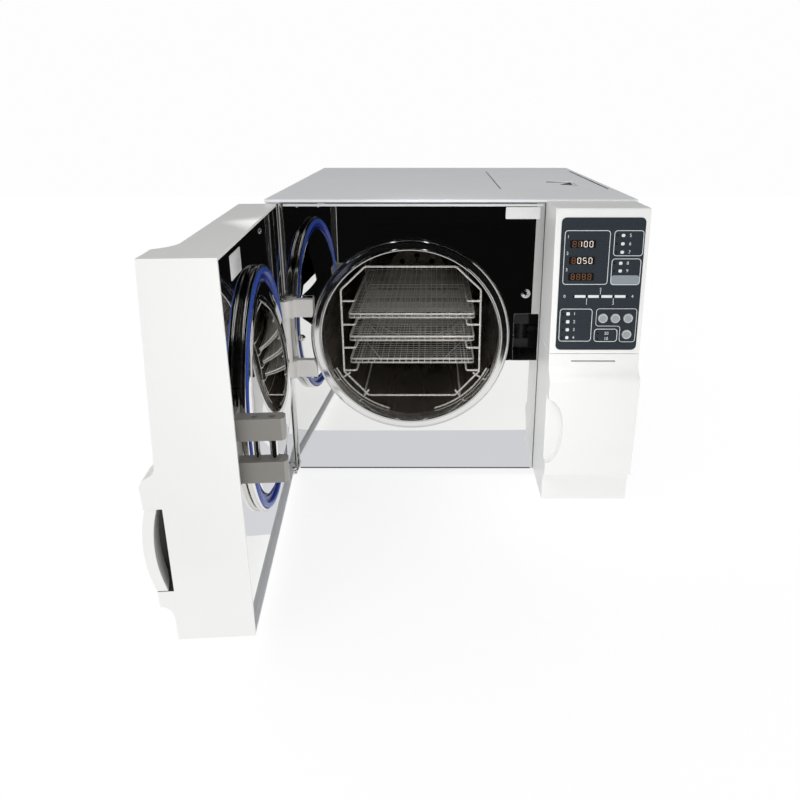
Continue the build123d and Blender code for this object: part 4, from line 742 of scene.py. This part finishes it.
@dataclass
class Door:
    """The open door: shell, mirror inside, pressure disc, gasket and yoke."""

    fit: Fitter
    hinge: Point2 = (-229.0, -276.0)
    opened: float = 85.7
    face_y: float = -281.0
    hollow_x: Point2 = (-236.5, 118.5)
    hollow_z: Point2 = (21.0, 401.5)
    notch: Point2 = (123.5, 122.0)
    notch_half: Point2 = (28.4, 46.4)
    steps: int = 144

    def swing(self) -> Matrix:
        """The turn about the hinge from the closed place to the resting place."""
        there = moved(*self.hinge, 0.0)
        return there @ Matrix.Rotation(-math.radians(self.opened), 4, "Z") @ there.inverted()

    def on_face(self, x: float, z: float) -> Matrix:
        """A place on the door's inner face, given as on the closed door."""
        return self.swing() @ moved(x, self.face_y, z)

    def build(self) -> None:
        """Build and dress the door."""
        fit = self.fit
        self.walls(fit.soften("door_shell", "door", "white_plastic", MOULD, 1.0, 3))
        fit.soften("handle_grip", "door", "white_plastic", MOULD, 2.2, 4)
        fit.soften("striker_yoke", "door", "yoke_grey", YOKE, 1.2, 3)
        fit.soften("hinge_knuckle", "door", "bracket_grey", BRACKET, 0.6)
        self.bracket()
        fit.soften("door_inner_panel", "door", "mirror_steel", MIRROR, 0.25)
        fit.dress({"striker_pins": POLISH, "door_beam": ZINC, "disc_stud": ZINC})
        self.pins()
        self.disc()
        self.gasket()
        self.small_things()

    def walls(self, shell: Object) -> None:
        """Line the shell's hollow with bright sheet, paint shade into the grip's notch and paint a pale
        reflection onto the hollow's bottom wall.

        Args:
            shell: the door's moulded shell, open.
        """
        back = self.swing().inverted()
        near, square = 0.8, 0.9
        notch_x, notch_y = 121.4, -349.0

        def choose(centre: Vector, normal: Vector) -> int:
            """Which finish a face takes: the mould's own, a wall's mirror, the notch's painted shade, or the
            bottom wall's painted reflection.
            """
            spot = (back @ centre) / MM - SHIFT
            way = back.to_3x3() @ normal
            reach = math.hypot((spot.x - self.notch[0]) / self.notch_half[0],
                               (spot.z - self.notch[1]) / self.notch_half[1])
            # painted shade in the grip's notch
            if reach < 1.0 and spot.x < notch_x and spot.y < notch_y:
                return 2
            # painted reflection on the hollow's bottom wall
            if abs(spot.z - self.hollow_z[0]) < near and way.z > square:
                return 3
            walls = ((spot.x - self.hollow_x[1], -way.x), (spot.x - self.hollow_x[0], way.x),
                     (spot.z - self.hollow_z[1], -way.z))
            return int(any(abs(gap) < near and turn > square for gap, turn in walls))

        Bench.paint(shell, (MIRROR, NOTCH_PAINTED_SHADE, FOLD_PAINTED_REFLECTION), choose)

    def pins(self) -> None:
        """Headed hinge pin, and the lower pivot on a slim tab."""
        upright = moved(*self.hinge, 0.0) @ UPRIGHT
        parts = [Bench.place(Bench.turned(outline, 32), upright) for outline in (
            [(0.0, 161.5), (4.0, 161.5), (4.0, 276.5), (6.0, 276.5), (6.0, 277.9), (5.4, 278.5), (0.0, 278.5)],
            [(0.0, 15.0), (4.4, 15.0), (4.4, 17.0), (4.0, 17.5), (3.0, 17.7), (3.0, 21.0), (0.0, 21.0)],
        )]
        parts.append(Bench.place(Bench.slab((8.8, 19.0), 2.5, 3.0, 0.5), moved(self.hinge[0], -271.5, 12.5)))
        self.fit.seat(Bench.join(parts), "hinge_pin_set", "cabinet", "zinc_steel", POLISH, ("hinge_pins",))

    def bracket(self) -> None:
        """Hinge bracket with grey lugs on a polished plate."""
        bracket = self.fit.soften("hinge_bracket", "cabinet", "bracket_grey", BRACKET, 0.9, 3)
        plate_y = at(0.0, -264.4, 0.0).y
        lug_low, lug_high = 31.0, 57.0
        Bench.paint(bracket, (MIRROR,), lambda centre, normal: int(
            not lug_low <= abs(centre.z / MM - AXIS_Z) <= lug_high or centre.y > plate_y))

    def disc(self) -> None:
        """Dished plate with a rolled rim and a gasket groove."""
        groove, height, rim_h, thick = 121.0, 31.0, 8.5, 3.0
        crown = (groove ** 2 + (height - rim_h) ** 2) / (2 * (height - rim_h))
        half = math.asin(groove / crown)
        back_r = crown - thick
        front = [(crown * math.sin(half * i / 18), height - crown + crown * math.cos(half * i / 18))
                 for i in range(19)]
        roll = [(121.5, 8.0), (121.8, 6.8), (121.9, 3.1), (137.2, 3.1), (137.3, 7.2), (137.7, 8.0),
                (138.3, 8.4), (138.9, 8.5), (139.5, 8.3), (140.1, 7.6), (140.5, 6.6), (140.7, 5.3),
                (140.6, 4.0), (140.2, 2.6), (139.4, 1.3), (138.2, 0.4), (136.8, 0.0)]
        foot = [(back_r * math.sin(half), 0.0), (back_r * math.sin(half), rim_h - 3.2)]
        back = [(back_r * math.sin(half * i / 12), height - crown + back_r * math.cos(half * i / 12))
                for i in range(11, -1, -1)]
        disc = Bench.turned(front + roll + foot + back, self.steps)
        Bench.paint(disc, (MIRROR, RIM), lambda centre, normal: int(math.hypot(centre.x, centre.z) > 137.0 * MM))
        Bench.place(disc, self.on_face(AXIS_X, AXIS_Z))
        self.fit.seat(disc, "pressure_dish", "door", "mirror_steel", None, ("pressure_disc",), 50.0)

    def gasket(self) -> None:
        """Blue ring gasket with a pale raised lip and a deep channel inside."""
        outline = [(124.0, 3.1), (123.9, 6.2), (124.6, 7.2), (126.5, 7.3), (128.6, 6.2), (130.0, 6.4),
                   (131.0, 8.2), (131.6, 10.0), (132.6, 10.6), (135.0, 10.6), (136.2, 10.0), (136.8, 8.6),
                   (136.8, 3.1)]
        ring = Bench.turned(outline, self.steps)
        Bench.paint(ring, (GASKET, GASKET_LIP),
                    lambda centre, normal: int(math.hypot(centre.x, centre.z) / MM > 131.2))
        Bench.place(ring, self.on_face(AXIS_X, AXIS_Z))
        self.fit.seat(ring, "gasket_ring", "door", "gasket_blue", None, ("door_gasket",), 50.0)

    def small_things(self) -> None:
        """Bare plate and the small screw on the door's mirror."""
        plate = Bench.slab((50.0, 24.0), 0.4, 1.5, 0.15)
        Bench.place(plate, self.on_face(25.0, 380.0) @ UPRIGHT.inverted())
        self.fit.seat(plate, "bare_plate_door", "door", "white_enamel", PLATE)
        outline = [(0.0, 0.0), (3.4, 0.0), (3.3, 0.9), (2.2, 1.8), (0.8, 2.0), (0.6, 1.3), (0.0, 1.2)]
        screw = Bench.place(Bench.turned(outline, 24), self.on_face(-126.0, 387.0))
        self.fit.seat(screw, "door_panel_screw", "door", "polished_steel", POLISH)


@dataclass
class Column:
    """Right-hand column with the control fascia, lamps, digits and buttons."""

    fit: Fitter
    proud: float = 0.5
    front_y: float = -276.0
    depth: float = 76.0
    seam_z: float = 212.0
    face_h: float = 196.5
    fall: float = 9.5

    def face(self, x: float, z: float, out: float) -> Matrix:
        """A place on the leaning face.

        Args:
            x: across, from the cabinet's middle.
            z: height.
            out: height over the face.

        Returns:
            A matrix whose z axis points out of the face.
        """
        lean = math.atan2(self.fall, self.face_h)
        deep = self.depth - self.fall * (z - self.seam_z) / self.face_h
        normal = Vector((0.0, -math.cos(lean), math.sin(lean)))
        up = Vector((0.0, math.sin(lean), math.cos(lean)))
        turn = Matrix(((1, 0, 0), up, normal)).transposed()
        return Matrix.Translation(at(x, self.front_y - deep, z) + normal * out * MM) @ turn.to_4x4()

    def put(self, piece: Object, x: float, z: float, over: float = 0.0) -> Object:
        """Seat a piece drawn flat on the fascia, or a little over it."""
        return Bench.place(piece, self.face(x, z, self.proud + over))

    def build(self) -> None:
        """Build the column's pieces."""
        fit = self.fit
        fit.soften("control_head", "cabinet", "white_plastic", MOULD, 0.9, 3)
        fit.soften("column_lower_cover", "cabinet", "white_plastic", MOULD, 0.9, 3)
        fit.soften("control_fascia", "cabinet", "fascia_slate", FASCIA, 0.3)
        fit.dress({"display_windows": WINDOW, "indicator_lenses": LAMP, "control_board": BOARD,
                   "printer_module": BLACK})
        self.frames()
        self.progress_bar()
        self.digits()
        self.marks()
        self.buttons()

    def frames(self) -> None:
        """Printed outlines round the groups."""
        parts = []
        for x0, x1, z0, z1 in ((137.4, 193.4, 315.2, 382.2), (198.0, 234.4, 350.8, 382.2),
                               (197.0, 233.4, 314.8, 347.8), (136.2, 177.4, 242.0, 284.6),
                               (181.0, 210.6, 241.6, 258.6)):
            line = Bench.line_frame((x1 - x0, z1 - z0), 4.0, 0.75, 0.12)
            parts.append(self.put(line, (x0 + x1) / 2, (z0 + z1) / 2))
        parts.append(self.elbow_frame())
        self.fit.seat(Bench.join(parts), "printed_frames", "cabinet", "lamp_clear", PRINT)
        strip = self.put(Bench.slab((34.9, 11.4), 0.12, 3.2), 215.2, 321.2)
        self.fit.seat(strip, "printed_strip", "cabinet", "lamp_clear", PRINT_GREY)

    def elbow_frame(self) -> Object:
        """The stepped outline round the four buttons."""
        corners = [(182.4, 284.6), (233.2, 284.6), (233.2, 241.6), (213.4, 241.6), (213.4, 262.2),
                   (182.4, 262.2)]
        points = [self.face(x, z, self.proud + 0.02).translation for x, z in corners]
        return Bench.wire(points, 0.38, closed=True, bend=4.0, sides=3)

    def progress_bar(self) -> None:
        """White bar in four lengths, with short ticks."""
        parts = []
        for size, corner, spots in (
            ((13.6, 3.4), 0.4, [(160.5 + index * 16.7, 300.3) for index in range(4)]),
            ((0.6, 4.0), 0.0, [(168.9, 295.8), (185.6, 305.0), (202.3, 295.8)]),
        ):
            parts += Bench.copies(Bench.slab(size, 0.14, corner),
                                  [self.face(x, z, self.proud) for x, z in spots])
        self.fit.seat(Bench.join(parts), "printed_bar", "cabinet", "lamp_clear", PRINT)

    def digits(self) -> None:
        """Plain numerals in the three windows, lit and dull strokes."""
        strokes = {"0": "abcdef", "1": "bc", "5": "afgcd", " ": ""}
        spots = {"a": (0, 3.4, False), "b": (1.9, 1.7, True), "c": (1.9, -1.7, True), "d": (0, -3.4, False),
                 "e": (-1.9, -1.7, True), "f": (-1.9, 1.7, True), "g": (0, 0, False)}
        pens = {True: Bench.slab((0.75, 3.0), 0.1, 0.3), False: Bench.slab((3.0, 0.75), 0.1, 0.3)}
        middle_x, pitch = 160.1, 6.9
        lit, dull = [], []
        for text, z in ((" 100", 365.5), (" 050", 345.2), ("    ", 325.2)):
            for index, mark in enumerate(text):
                x = middle_x + (index - 1.5) * pitch
                for key, (dx, dz, upright) in spots.items():
                    target = lit if key in strokes[mark] else dull
                    target.append(self.put(Bench.twin(pens[upright]), x + dx, z + dz, 0.5))
        for pen in pens.values():
            bpy.data.objects.remove(pen)
        self.fit.seat(Bench.join(lit), "lit_strokes", "cabinet", "lamp_clear", SEGMENT_ON)
        self.fit.seat(Bench.join(dull), "dull_strokes", "cabinet", "window_dark", SEGMENT_OFF)

    def numeral(self, text: str, x: float, z: float, size: float) -> Object:
        """A small printed number.

        Args:
            text: the number.
            x: left end.
            z: middle height.
            size: letter height in millimetres.

        Returns:
            The number as a thin mesh on the face.
        """
        Bench.clear()
        bpy.ops.object.text_add()
        piece = bpy.context.object
        piece.data.body = text
        piece.data.size = size * MM * 1.35
        piece.data.extrude = 0.04 * MM
        piece.data.align_y = "CENTER"
        bpy.ops.object.convert(target="MESH")
        return self.put(bpy.context.object, x, z, 0.05)

    def marks(self) -> None:
        """Plain numbers beside the lamps and small filled symbols."""
        parts = []
        for first, count, x, gap, top, step, size, corner, grow in (
            (1, 4, 153.5, 6.7, 278.0, 10.3, (4.2, 4.2), 0.4, 0.5),
            (5, 3, 216.5, 7.5, 376.0, 10.2, (4.4, 3.8), 1.6, 0.0),
            (8, 2, 215.5, 7.3, 342.0, 9.6, (4.2, 3.8), 1.2, 0.0),
        ):
            for index in range(count):
                z = top - index * step
                parts.append(self.numeral(str(first + index), x, z, 4.2))
                parts.append(self.put(Bench.slab(size, 0.1, corner + grow * index), x - gap, z))
        for text, x, z in (("20", 194.0, 252.6), ("10", 194.0, 245.6), ("1", 140.5, 374.2),
                           ("2", 140.5, 354.0), ("3", 140.5, 333.6), ("0", 139.6, 300.3),
                           ("4", 224.6, 300.3), ("2", 184.2, 309.0), ("1", 167.6, 291.4),
                           ("3", 201.0, 291.4)):
            parts.append(self.numeral(text, x, z, 4.0))
        self.fit.seat(Bench.join(parts), "printed_marks", "cabinet", "lamp_clear", PRINT)

    def buttons(self) -> None:
        """Silver caps with a ring and a shallow bowl, one per button body."""
        cap = Bench.turned([(0.0, -3.7), (6.1, -3.7), (6.15, 1.3), (5.9, 1.85), (5.3, 2.05), (4.8, 1.9),
                            (4.5, 1.6), (4.1, 1.5), (3.9, 1.75), (0.0, 1.95)], 40)
        collar = Bench.turned([(0.0, -5.4), (7.5, -5.4), (7.5, -3.85), (0.0, -3.85)], 32)
        whole = Bench.join([cap, collar])
        ring_in, ring_out, ring_low = 4.6, 5.4, 1.0
        Bench.paint(whole, (CAP, CAP_RING), lambda centre, normal: int(
            ring_in < math.hypot(centre.x, centre.z) / MM < ring_out and centre.y / MM > ring_low))
        places = [self.face(x, z, 0.0) @ UPRIGHT
                  for x, z in ((191.0, 272.3), (206.6, 272.3), (222.8, 272.3), (222.3, 251.4))]
        for index, button in enumerate(Bench.copies(whole, places), 1):
            name = f"button_{index}"
            self.fit.seat(button, f"cap_{index}", name, "button_steel", None, (name,), 40.0)


@dataclass
class Latch:
    """Black latch mouth with its drum, claw and motor."""

    fit: Fitter

    def build(self) -> None:
        """Round and dress the latch."""
        self.fit.soften("latch_frame", "cabinet", "black_plastic", BLACK, 0.5)
        self.fit.soften("latch_hook", "latch_hook", "black_plastic", SOOT, 0.5)
        self.fit.soften("latch_motor", "cabinet", "zinc_steel", ZINC, 1.0)


@dataclass
class TankTop:
    """Lid over the water tank, with its finger pull and seals."""

    fit: Fitter
    x0: float = 77.6
    x1: float = 233.9
    y0: float = -142.0
    y1: float = 186.6
    top: float = 410.0

    def build(self) -> None:
        """Build the lid and dress the tank."""
        cutter = Bench.block((46.0, 78.0, 2.8), moved(183.8, -53.0, self.top))
        self.fit.soften("tank_lid", "tank_lid", "lid_grey", LID, 0.35, cutter=cutter)
        self.fit.soften("water_tank", "cabinet", "tank_plastic", TANK, 1.0)
        seals = []
        for x0, x1 in ((self.x0 - 2.1, self.x0 - 0.9), (self.x1 + 0.9, self.x1 + 4.0)):
            seal = Bench.slab((x1 - x0, self.y1 - self.y0 - 16.0), 0.5, 0.2)
            seals.append(Bench.place(seal, moved((x0 + x1) / 2, (self.y0 + self.y1) / 2, self.top - 0.46)))
        self.fit.seat(Bench.join(seals), "lid_seals", "cabinet", "black_plastic", SEAM_AND_SHADOW)
        self.pull()

    def pull(self) -> None:
        """Painted shade and a painted highlight, as thin facets in the lid's finger pull."""
        for name, finish, corners in (
            # painted shade in the pull's recess, and a pale facet as its painted highlight
            ("pull_shade", SEAM_AND_SHADOW, ((178.0, -60.0), (196.0, -64.0), (200.5, -24.0))),
            ("pull_glint", ENAMEL, ((188.0, -90.0), (205.0, -90.0), (205.0, -30.0), (200.5, -30.0),
                                    (198.0, -69.0), (189.0, -68.0))),
        ):
            facet = Bench.outline([at(x, y, self.top - 1.5) for x, y in corners], "NGON")
            with Bench.editing(facet, "VERT"):
                Bench.lift(0.6)
            self.fit.seat(Bench.outward(facet), name, "tank_lid", "lid_grey", finish)


@dataclass
class Trays:
    """Three wire trays, woven once and copied."""

    fit: Fitter
    levels: Tuple[float, ...] = (12.6, -22.1, -56.8)
    names: Tuple[str, ...] = ("tray_upper", "tray_middle", "tray_lower")
    y0: float = -220.0
    width: float = 186.0
    length: float = 330.0
    height: float = 9.0
    pitch: float = 9.3

    def spot(self, x: float, y: float, h: float) -> Vector:
        """A place on the upper tray, counted from its front-left corner."""
        return at(AXIS_X - self.width / 2 + x, self.y0 + y, AXIS_Z + self.levels[0] + 1.8 + h)

    def loop(self, inset: float, h: float, radius: float) -> Object:
        """A closed rim wire."""
        x1, y1 = self.width - inset, self.length - inset
        points = [self.spot(x, y, h) for x, y in ((inset, inset), (x1, inset), (x1, y1), (inset, y1))]
        return Bench.wire(points, radius, closed=True, bend=5.0)

    def strand(self, along_y: bool, low: float) -> Object:
        """One floor wire beside the tray's corner, bent up at both rims.

        Args:
            along_y: whether it runs front to back.
            low: its height over the underside.

        Returns:
            The wire.
        """
        run = self.length if along_y else self.width
        rim = self.height - 1.4
        path = [(1.2, rim), (1.5, low), (run - 1.5, low), (run - 1.2, rim)]
        points = [self.spot(0.0, s, h) if along_y else self.spot(s, 0.0, h) for s, h in path]
        return Bench.wire(points, 0.42, bend=1.6, sides=3)

    def brace(self, side: float) -> Object:
        """A diagonal wire in a front corner, between two places on the floor."""
        middle = self.width / 2
        points = [self.spot(middle + side * (middle - across), y, 2.6) for across, y in ((46, 14.0), (6, 130.0))]
        return Bench.wire(points, 0.9, sides=4)

    def weave(self) -> Object:
        """Rims and floor wires of one tray."""
        parts = [self.loop(1.5, self.height - 1.5, 1.15), self.loop(1.3, 1.5, 0.7)]
        for along_y, across, low in ((True, self.width, 1.6), (False, self.length, 0.6)):
            count = round(across / self.pitch)
            steps = [across * index / count * MM for index in range(1, count)]
            parts += Bench.copies(self.strand(along_y, low), [
                Matrix.Translation((step, 0.0, 0.0) if along_y else (0.0, step, 0.0)) for step in steps])
        return Bench.join(parts)

    def build(self) -> None:
        """Weave one tray, copy it to each level and add the corner braces."""
        first = self.weave()
        for index, (name, level) in enumerate(zip(self.names, self.levels)):
            tray = first if index == 2 else Bench.twin(first)
            if index:
                tray = Bench.join([tray, self.brace(-1.0), self.brace(1.0)])
            Bench.place(tray, Matrix.Translation((0.0, 0.0, (level - self.levels[0]) * MM)))
            self.fit.seat(tray, f"{name}_mesh", name, "wire_steel", MESH, (name,), 60.0)


@dataclass
class Rack:
    """Welded wire rack with rails, stubs and bowed skids."""

    fit: Fitter
    y0: float = -242.0
    length: float = 360.0
    wire_r: float = 1.45
    skid_r: float = 121.7
    runner_r: float = 121.5
    stub_r: float = 108.0
    side_x: float = 98.5
    rail_x: float = 80.0
    rails: Tuple[float, ...] = (47.3, 12.6, -22.1, -56.8)

    def wire(self, places: Sequence[Point3], **shape: object) -> Object:
        """A wire through places whose x and z are counted from the chamber's axis."""
        points = [at(AXIS_X + x, y, AXIS_Z + z) for x, y, z in places]
        return Bench.wire(points, self.wire_r, sides=6, **shape)

    def end_frame(self) -> Object:
        """The front end: an eight-cornered frame, its bowed skids and their stubs."""
        corners = [(-63.5, 96.5), (63.5, 96.5), (98.5, 63.5), (98.5, -58.5), (63.5, -96.0), (-63.5, -96.0),
                   (-98.5, -58.5), (-98.5, 63.5)]
        parts = [self.wire([(x, self.y0, z) for x, z in corners], closed=True, bend=6.0)]
        for start in (206, 286):
            bow = [round_point(self.skid_r, start + turn) for turn in range(0, 49, 4)]
            parts.append(self.wire([(x, self.y0, z) for x, z in bow]))
        for degrees in (214, 234, 306, 326):
            ends = [round_point(radius, degrees) for radius in (self.stub_r, self.runner_r)]
            parts.append(self.wire([(x, self.y0, z) for x, z in ends]))
        return Bench.join(parts)

    def build(self) -> None:
        """Bend the wires, each kind once, and join them all."""
        y1 = self.y0 + self.length
        parts = Bench.copies(self.end_frame(), [Matrix(), Matrix.Translation((0.0, self.length * MM, 0.0))])
        steps = [Matrix.Translation((0.0, 0.0, (z - self.rails[0]) * MM)) for z in self.rails]
        for side in (-1, 1):
            corners = ((self.side_x, self.y0), (self.rail_x, self.y0), (self.rail_x, y1), (self.side_x, y1))
            rail = self.wire([(side * x, y, self.rails[0]) for x, y in corners], bend=4.0)
            parts += Bench.copies(rail, steps)
        for degrees in (234, 306):
            x, z = round_point(self.runner_r, degrees)
            parts.append(self.wire([(x, self.y0, z), (x, y1, z)]))
        self.fit.seat(Bench.join(parts), "rack_wires", "tray_rack", "wire_steel", WIRE, ("tray_rack",), 60.0)


@dataclass
class Works:
    """Inner machinery and the fittings on the rear panel."""

    fit: Fitter

    def build(self) -> None:
        """Round and dress the working parts."""
        for row in (("vacuum_pump", "cabinet", "zinc_steel", ZINC, 1.5),
                    ("solenoid_valves", "cabinet", "brass_fitting", BRASS, 0.8),
                    ("power_inlet", "cabinet", "black_plastic", BLACK, 0.6),
                    ("switch_frame", "cabinet", "black_plastic", BLACK, 0.6),
                    ("drain_ports", "cabinet", "brass_fitting", BRASS, 0.5),
                    ("safety_valve", "cabinet", "brass_fitting", BRASS, 0.6),
                    ("fan_frame", "cabinet", "black_plastic", BLACK, 0.8),
                    ("switch_rocker", "switch_rocker", "black_plastic", BLACK, 0.5),
                    ("fan_rotor", "fan_rotor", "black_plastic", BLACK, 0.5)):
            self.fit.soften(*row)
        self.fit.dress({"steam_generator": VESSEL, "main_board": BOARD, "condenser": ZINC, "pipes": COPPER})


@dataclass
class Studio:
    """Pale floor, soft light, hidden cards for the mirrors, and the camera."""

    dark_from: float = -777.0
    lens: float = 31.62
    shift: Point2 = (-0.0416, -0.0538)
    tilt: float = 19.35
    roll: float = 0.09

    def plain(self, name: str, tone: Point3, strength: float, albedo: float) -> bpy.types.Material:
        """A plain stage material.

        Args:
            name: material name.
            tone: colour.
            strength: own light.
            albedo: how much light it returns.

        Returns:
            The material.
        """
        material = bpy.data.materials.new(name)
        material.use_nodes = True
        skin = material.node_tree.nodes["Principled BSDF"]
        for title, value in (("Base Color", (*(albedo * part for part in tone), 1.0)), ("Roughness", 1.0),
                             ("Specular IOR Level", 0.0), ("Emission Color", (*tone, 1.0)),
                             ("Emission Strength", strength)):
            skin.inputs[title].default_value = value
        return material

    def card(self, name: str, centre: Vector, size: Point2, turn: Point3, material: bpy.types.Material,
             seen: Sequence[str] = ("glossy",)) -> None:
        """A flat stage card seen only by some rays.

        Args:
            name: its name.
            centre: its middle in metres.
            size: its sides in metres.
            turn: its turn in degrees.
            material: its material.
            seen: the kinds of ray that meet it.
        """
        Bench.clear()
        bpy.ops.mesh.primitive_plane_add(size=1.0, location=centre, rotation=[math.radians(a) for a in turn])
        card = bpy.context.object
        card.name = name
        card.scale = (size[0], size[1], 1.0)
        Bench.settle(card)
        card.data.materials.append(material)
        for ray in RAYS:
            setattr(card, f"visible_{ray}", ray in seen)

    def cards(self) -> None:
        """Floor and backdrop, and what only the mirrors see."""
        white = (1.0, 1.0, 1.0)
        self.card("floor", Vector((0, 0, -0.0002)), (9.0, 9.0), (0, 0, 0),
                  self.plain("floor_pale", white, 0.80, 0.26), RAYS)
        self.card("backdrop", Vector((0, 3.6, 2.2)), (12.0, 5.0), (90, 0, 0),
                  self.plain("backdrop_pale", white, 0.985, 0.0), ("camera",))
        # Painted reflection of shade: a grey card, seen only by glossy rays, that shows the floor's shaded strip
        # next to the panel in the mirrors.
        self.card("floor_shade_card", at(-60.0, PANEL_Y - 78.0, 1.0), (0.56, 0.156), (0, 0, 0),
                  self.plain("card_floor_shade", (0.70, 0.71, 0.745), 1.0, 0.0))
        bright = self.plain("card_bright", white, 2.2, 0.0)
        for index, x in enumerate((-0.55, 0.35)):
            self.card(f"tube_card_{index}", Vector((x, -0.5, 2.3)), (0.10, 1.6), (180, 0, 0), bright)
        black = self.plain("card_black", (0.004, 0.004, 0.004), 0.0, 1.0)
        near = (self.dark_from + SHIFT.y) * MM
        self.card("dark_floor_card", Vector((0, near - 1.0, 0.001)), (4.0, 2.0), (0, 0, 0), black)
        self.card("dark_back_card", Vector((0, near - 2.0, 1.0)), (4.0, 2.0), (90, 0, 0), black)

    def build(self) -> None:
        """Set cards, world, lamps and camera."""
        self.cards()
        world = bpy.data.worlds.new("studio")
        world.use_nodes = True
        world.node_tree.nodes["Background"].inputs[0].default_value = (1.0, 1.0, 1.0, 1.0)
        world.node_tree.nodes["Background"].inputs[1].default_value = 0.76
        world.cycles_visibility.glossy = False
        bpy.context.scene.world = world
        mouth = Vector((-0.02, 0.0, 0.2))
        self.lamp("front_softbox", Vector((-1.5, -2.3, 0.6)), mouth, 1.6, 10.0)
        self.lamp("chamber_fill", Vector((0.05, -1.35, 0.66)), mouth, 0.22, 0.10, 34)
        self.lamp("column_fill", Vector((-0.12, -0.30, 0.50)), Vector((0.16, -0.10, 0.10)), 0.20, 0.10, 50)
        self.camera()
        bpy.context.scene.view_settings.view_transform = "Standard"

    def lamp(self, name: str, place: Vector, target: Vector, size: float, watts: float,
             spread: float = 180.0) -> None:
        """A soft square lamp that no mirror shows.

        Args:
            name: its name.
            place: where it stands, in metres.
            target: what it is aimed at, in metres.
            size: its side in metres.
            watts: its power.
            spread: its beam's angle in degrees.
        """
        data = bpy.data.lights.new(name, "AREA")
        data.energy = watts
        data.size = size
        data.spread = math.radians(spread)
        lamp = bpy.data.objects.new(name, data)
        bpy.context.scene.collection.objects.link(lamp)
        lamp.visible_camera = False
        lamp.visible_glossy = False
        lamp.location = place
        lamp.rotation_euler = (target - place).to_track_quat("-Z", "Y").to_euler()

    def camera(self) -> None:
        """The camera at the photograph's place."""
        data = bpy.data.cameras.new("camera")
        data.sensor_width = 36.0
        data.lens = self.lens
        data.shift_x, data.shift_y = self.shift
        camera = bpy.data.objects.new("camera", data)
        bpy.context.scene.collection.objects.link(camera)
        camera.location = at(-21.9, -1203.5, 520.3)
        camera.rotation_euler = (math.radians(90 - self.tilt), 0.0, math.radians(self.roll))
        bpy.context.scene.camera = camera


def main() -> None:
    """Build the machine's sub-assemblies in order, then the studio."""
    logging.basicConfig(level=logging.INFO, format="%(message)s")
    fit = Fitter()
    for group in (Casing, Chamber, Door, Column, Latch, TankTop, Rack, Trays, Works):
        group(fit).build()
    Studio().build()
    Bench.clear()
    LOG.info("%d pieces", fit.made)


if __name__ == "__main__":
    main()
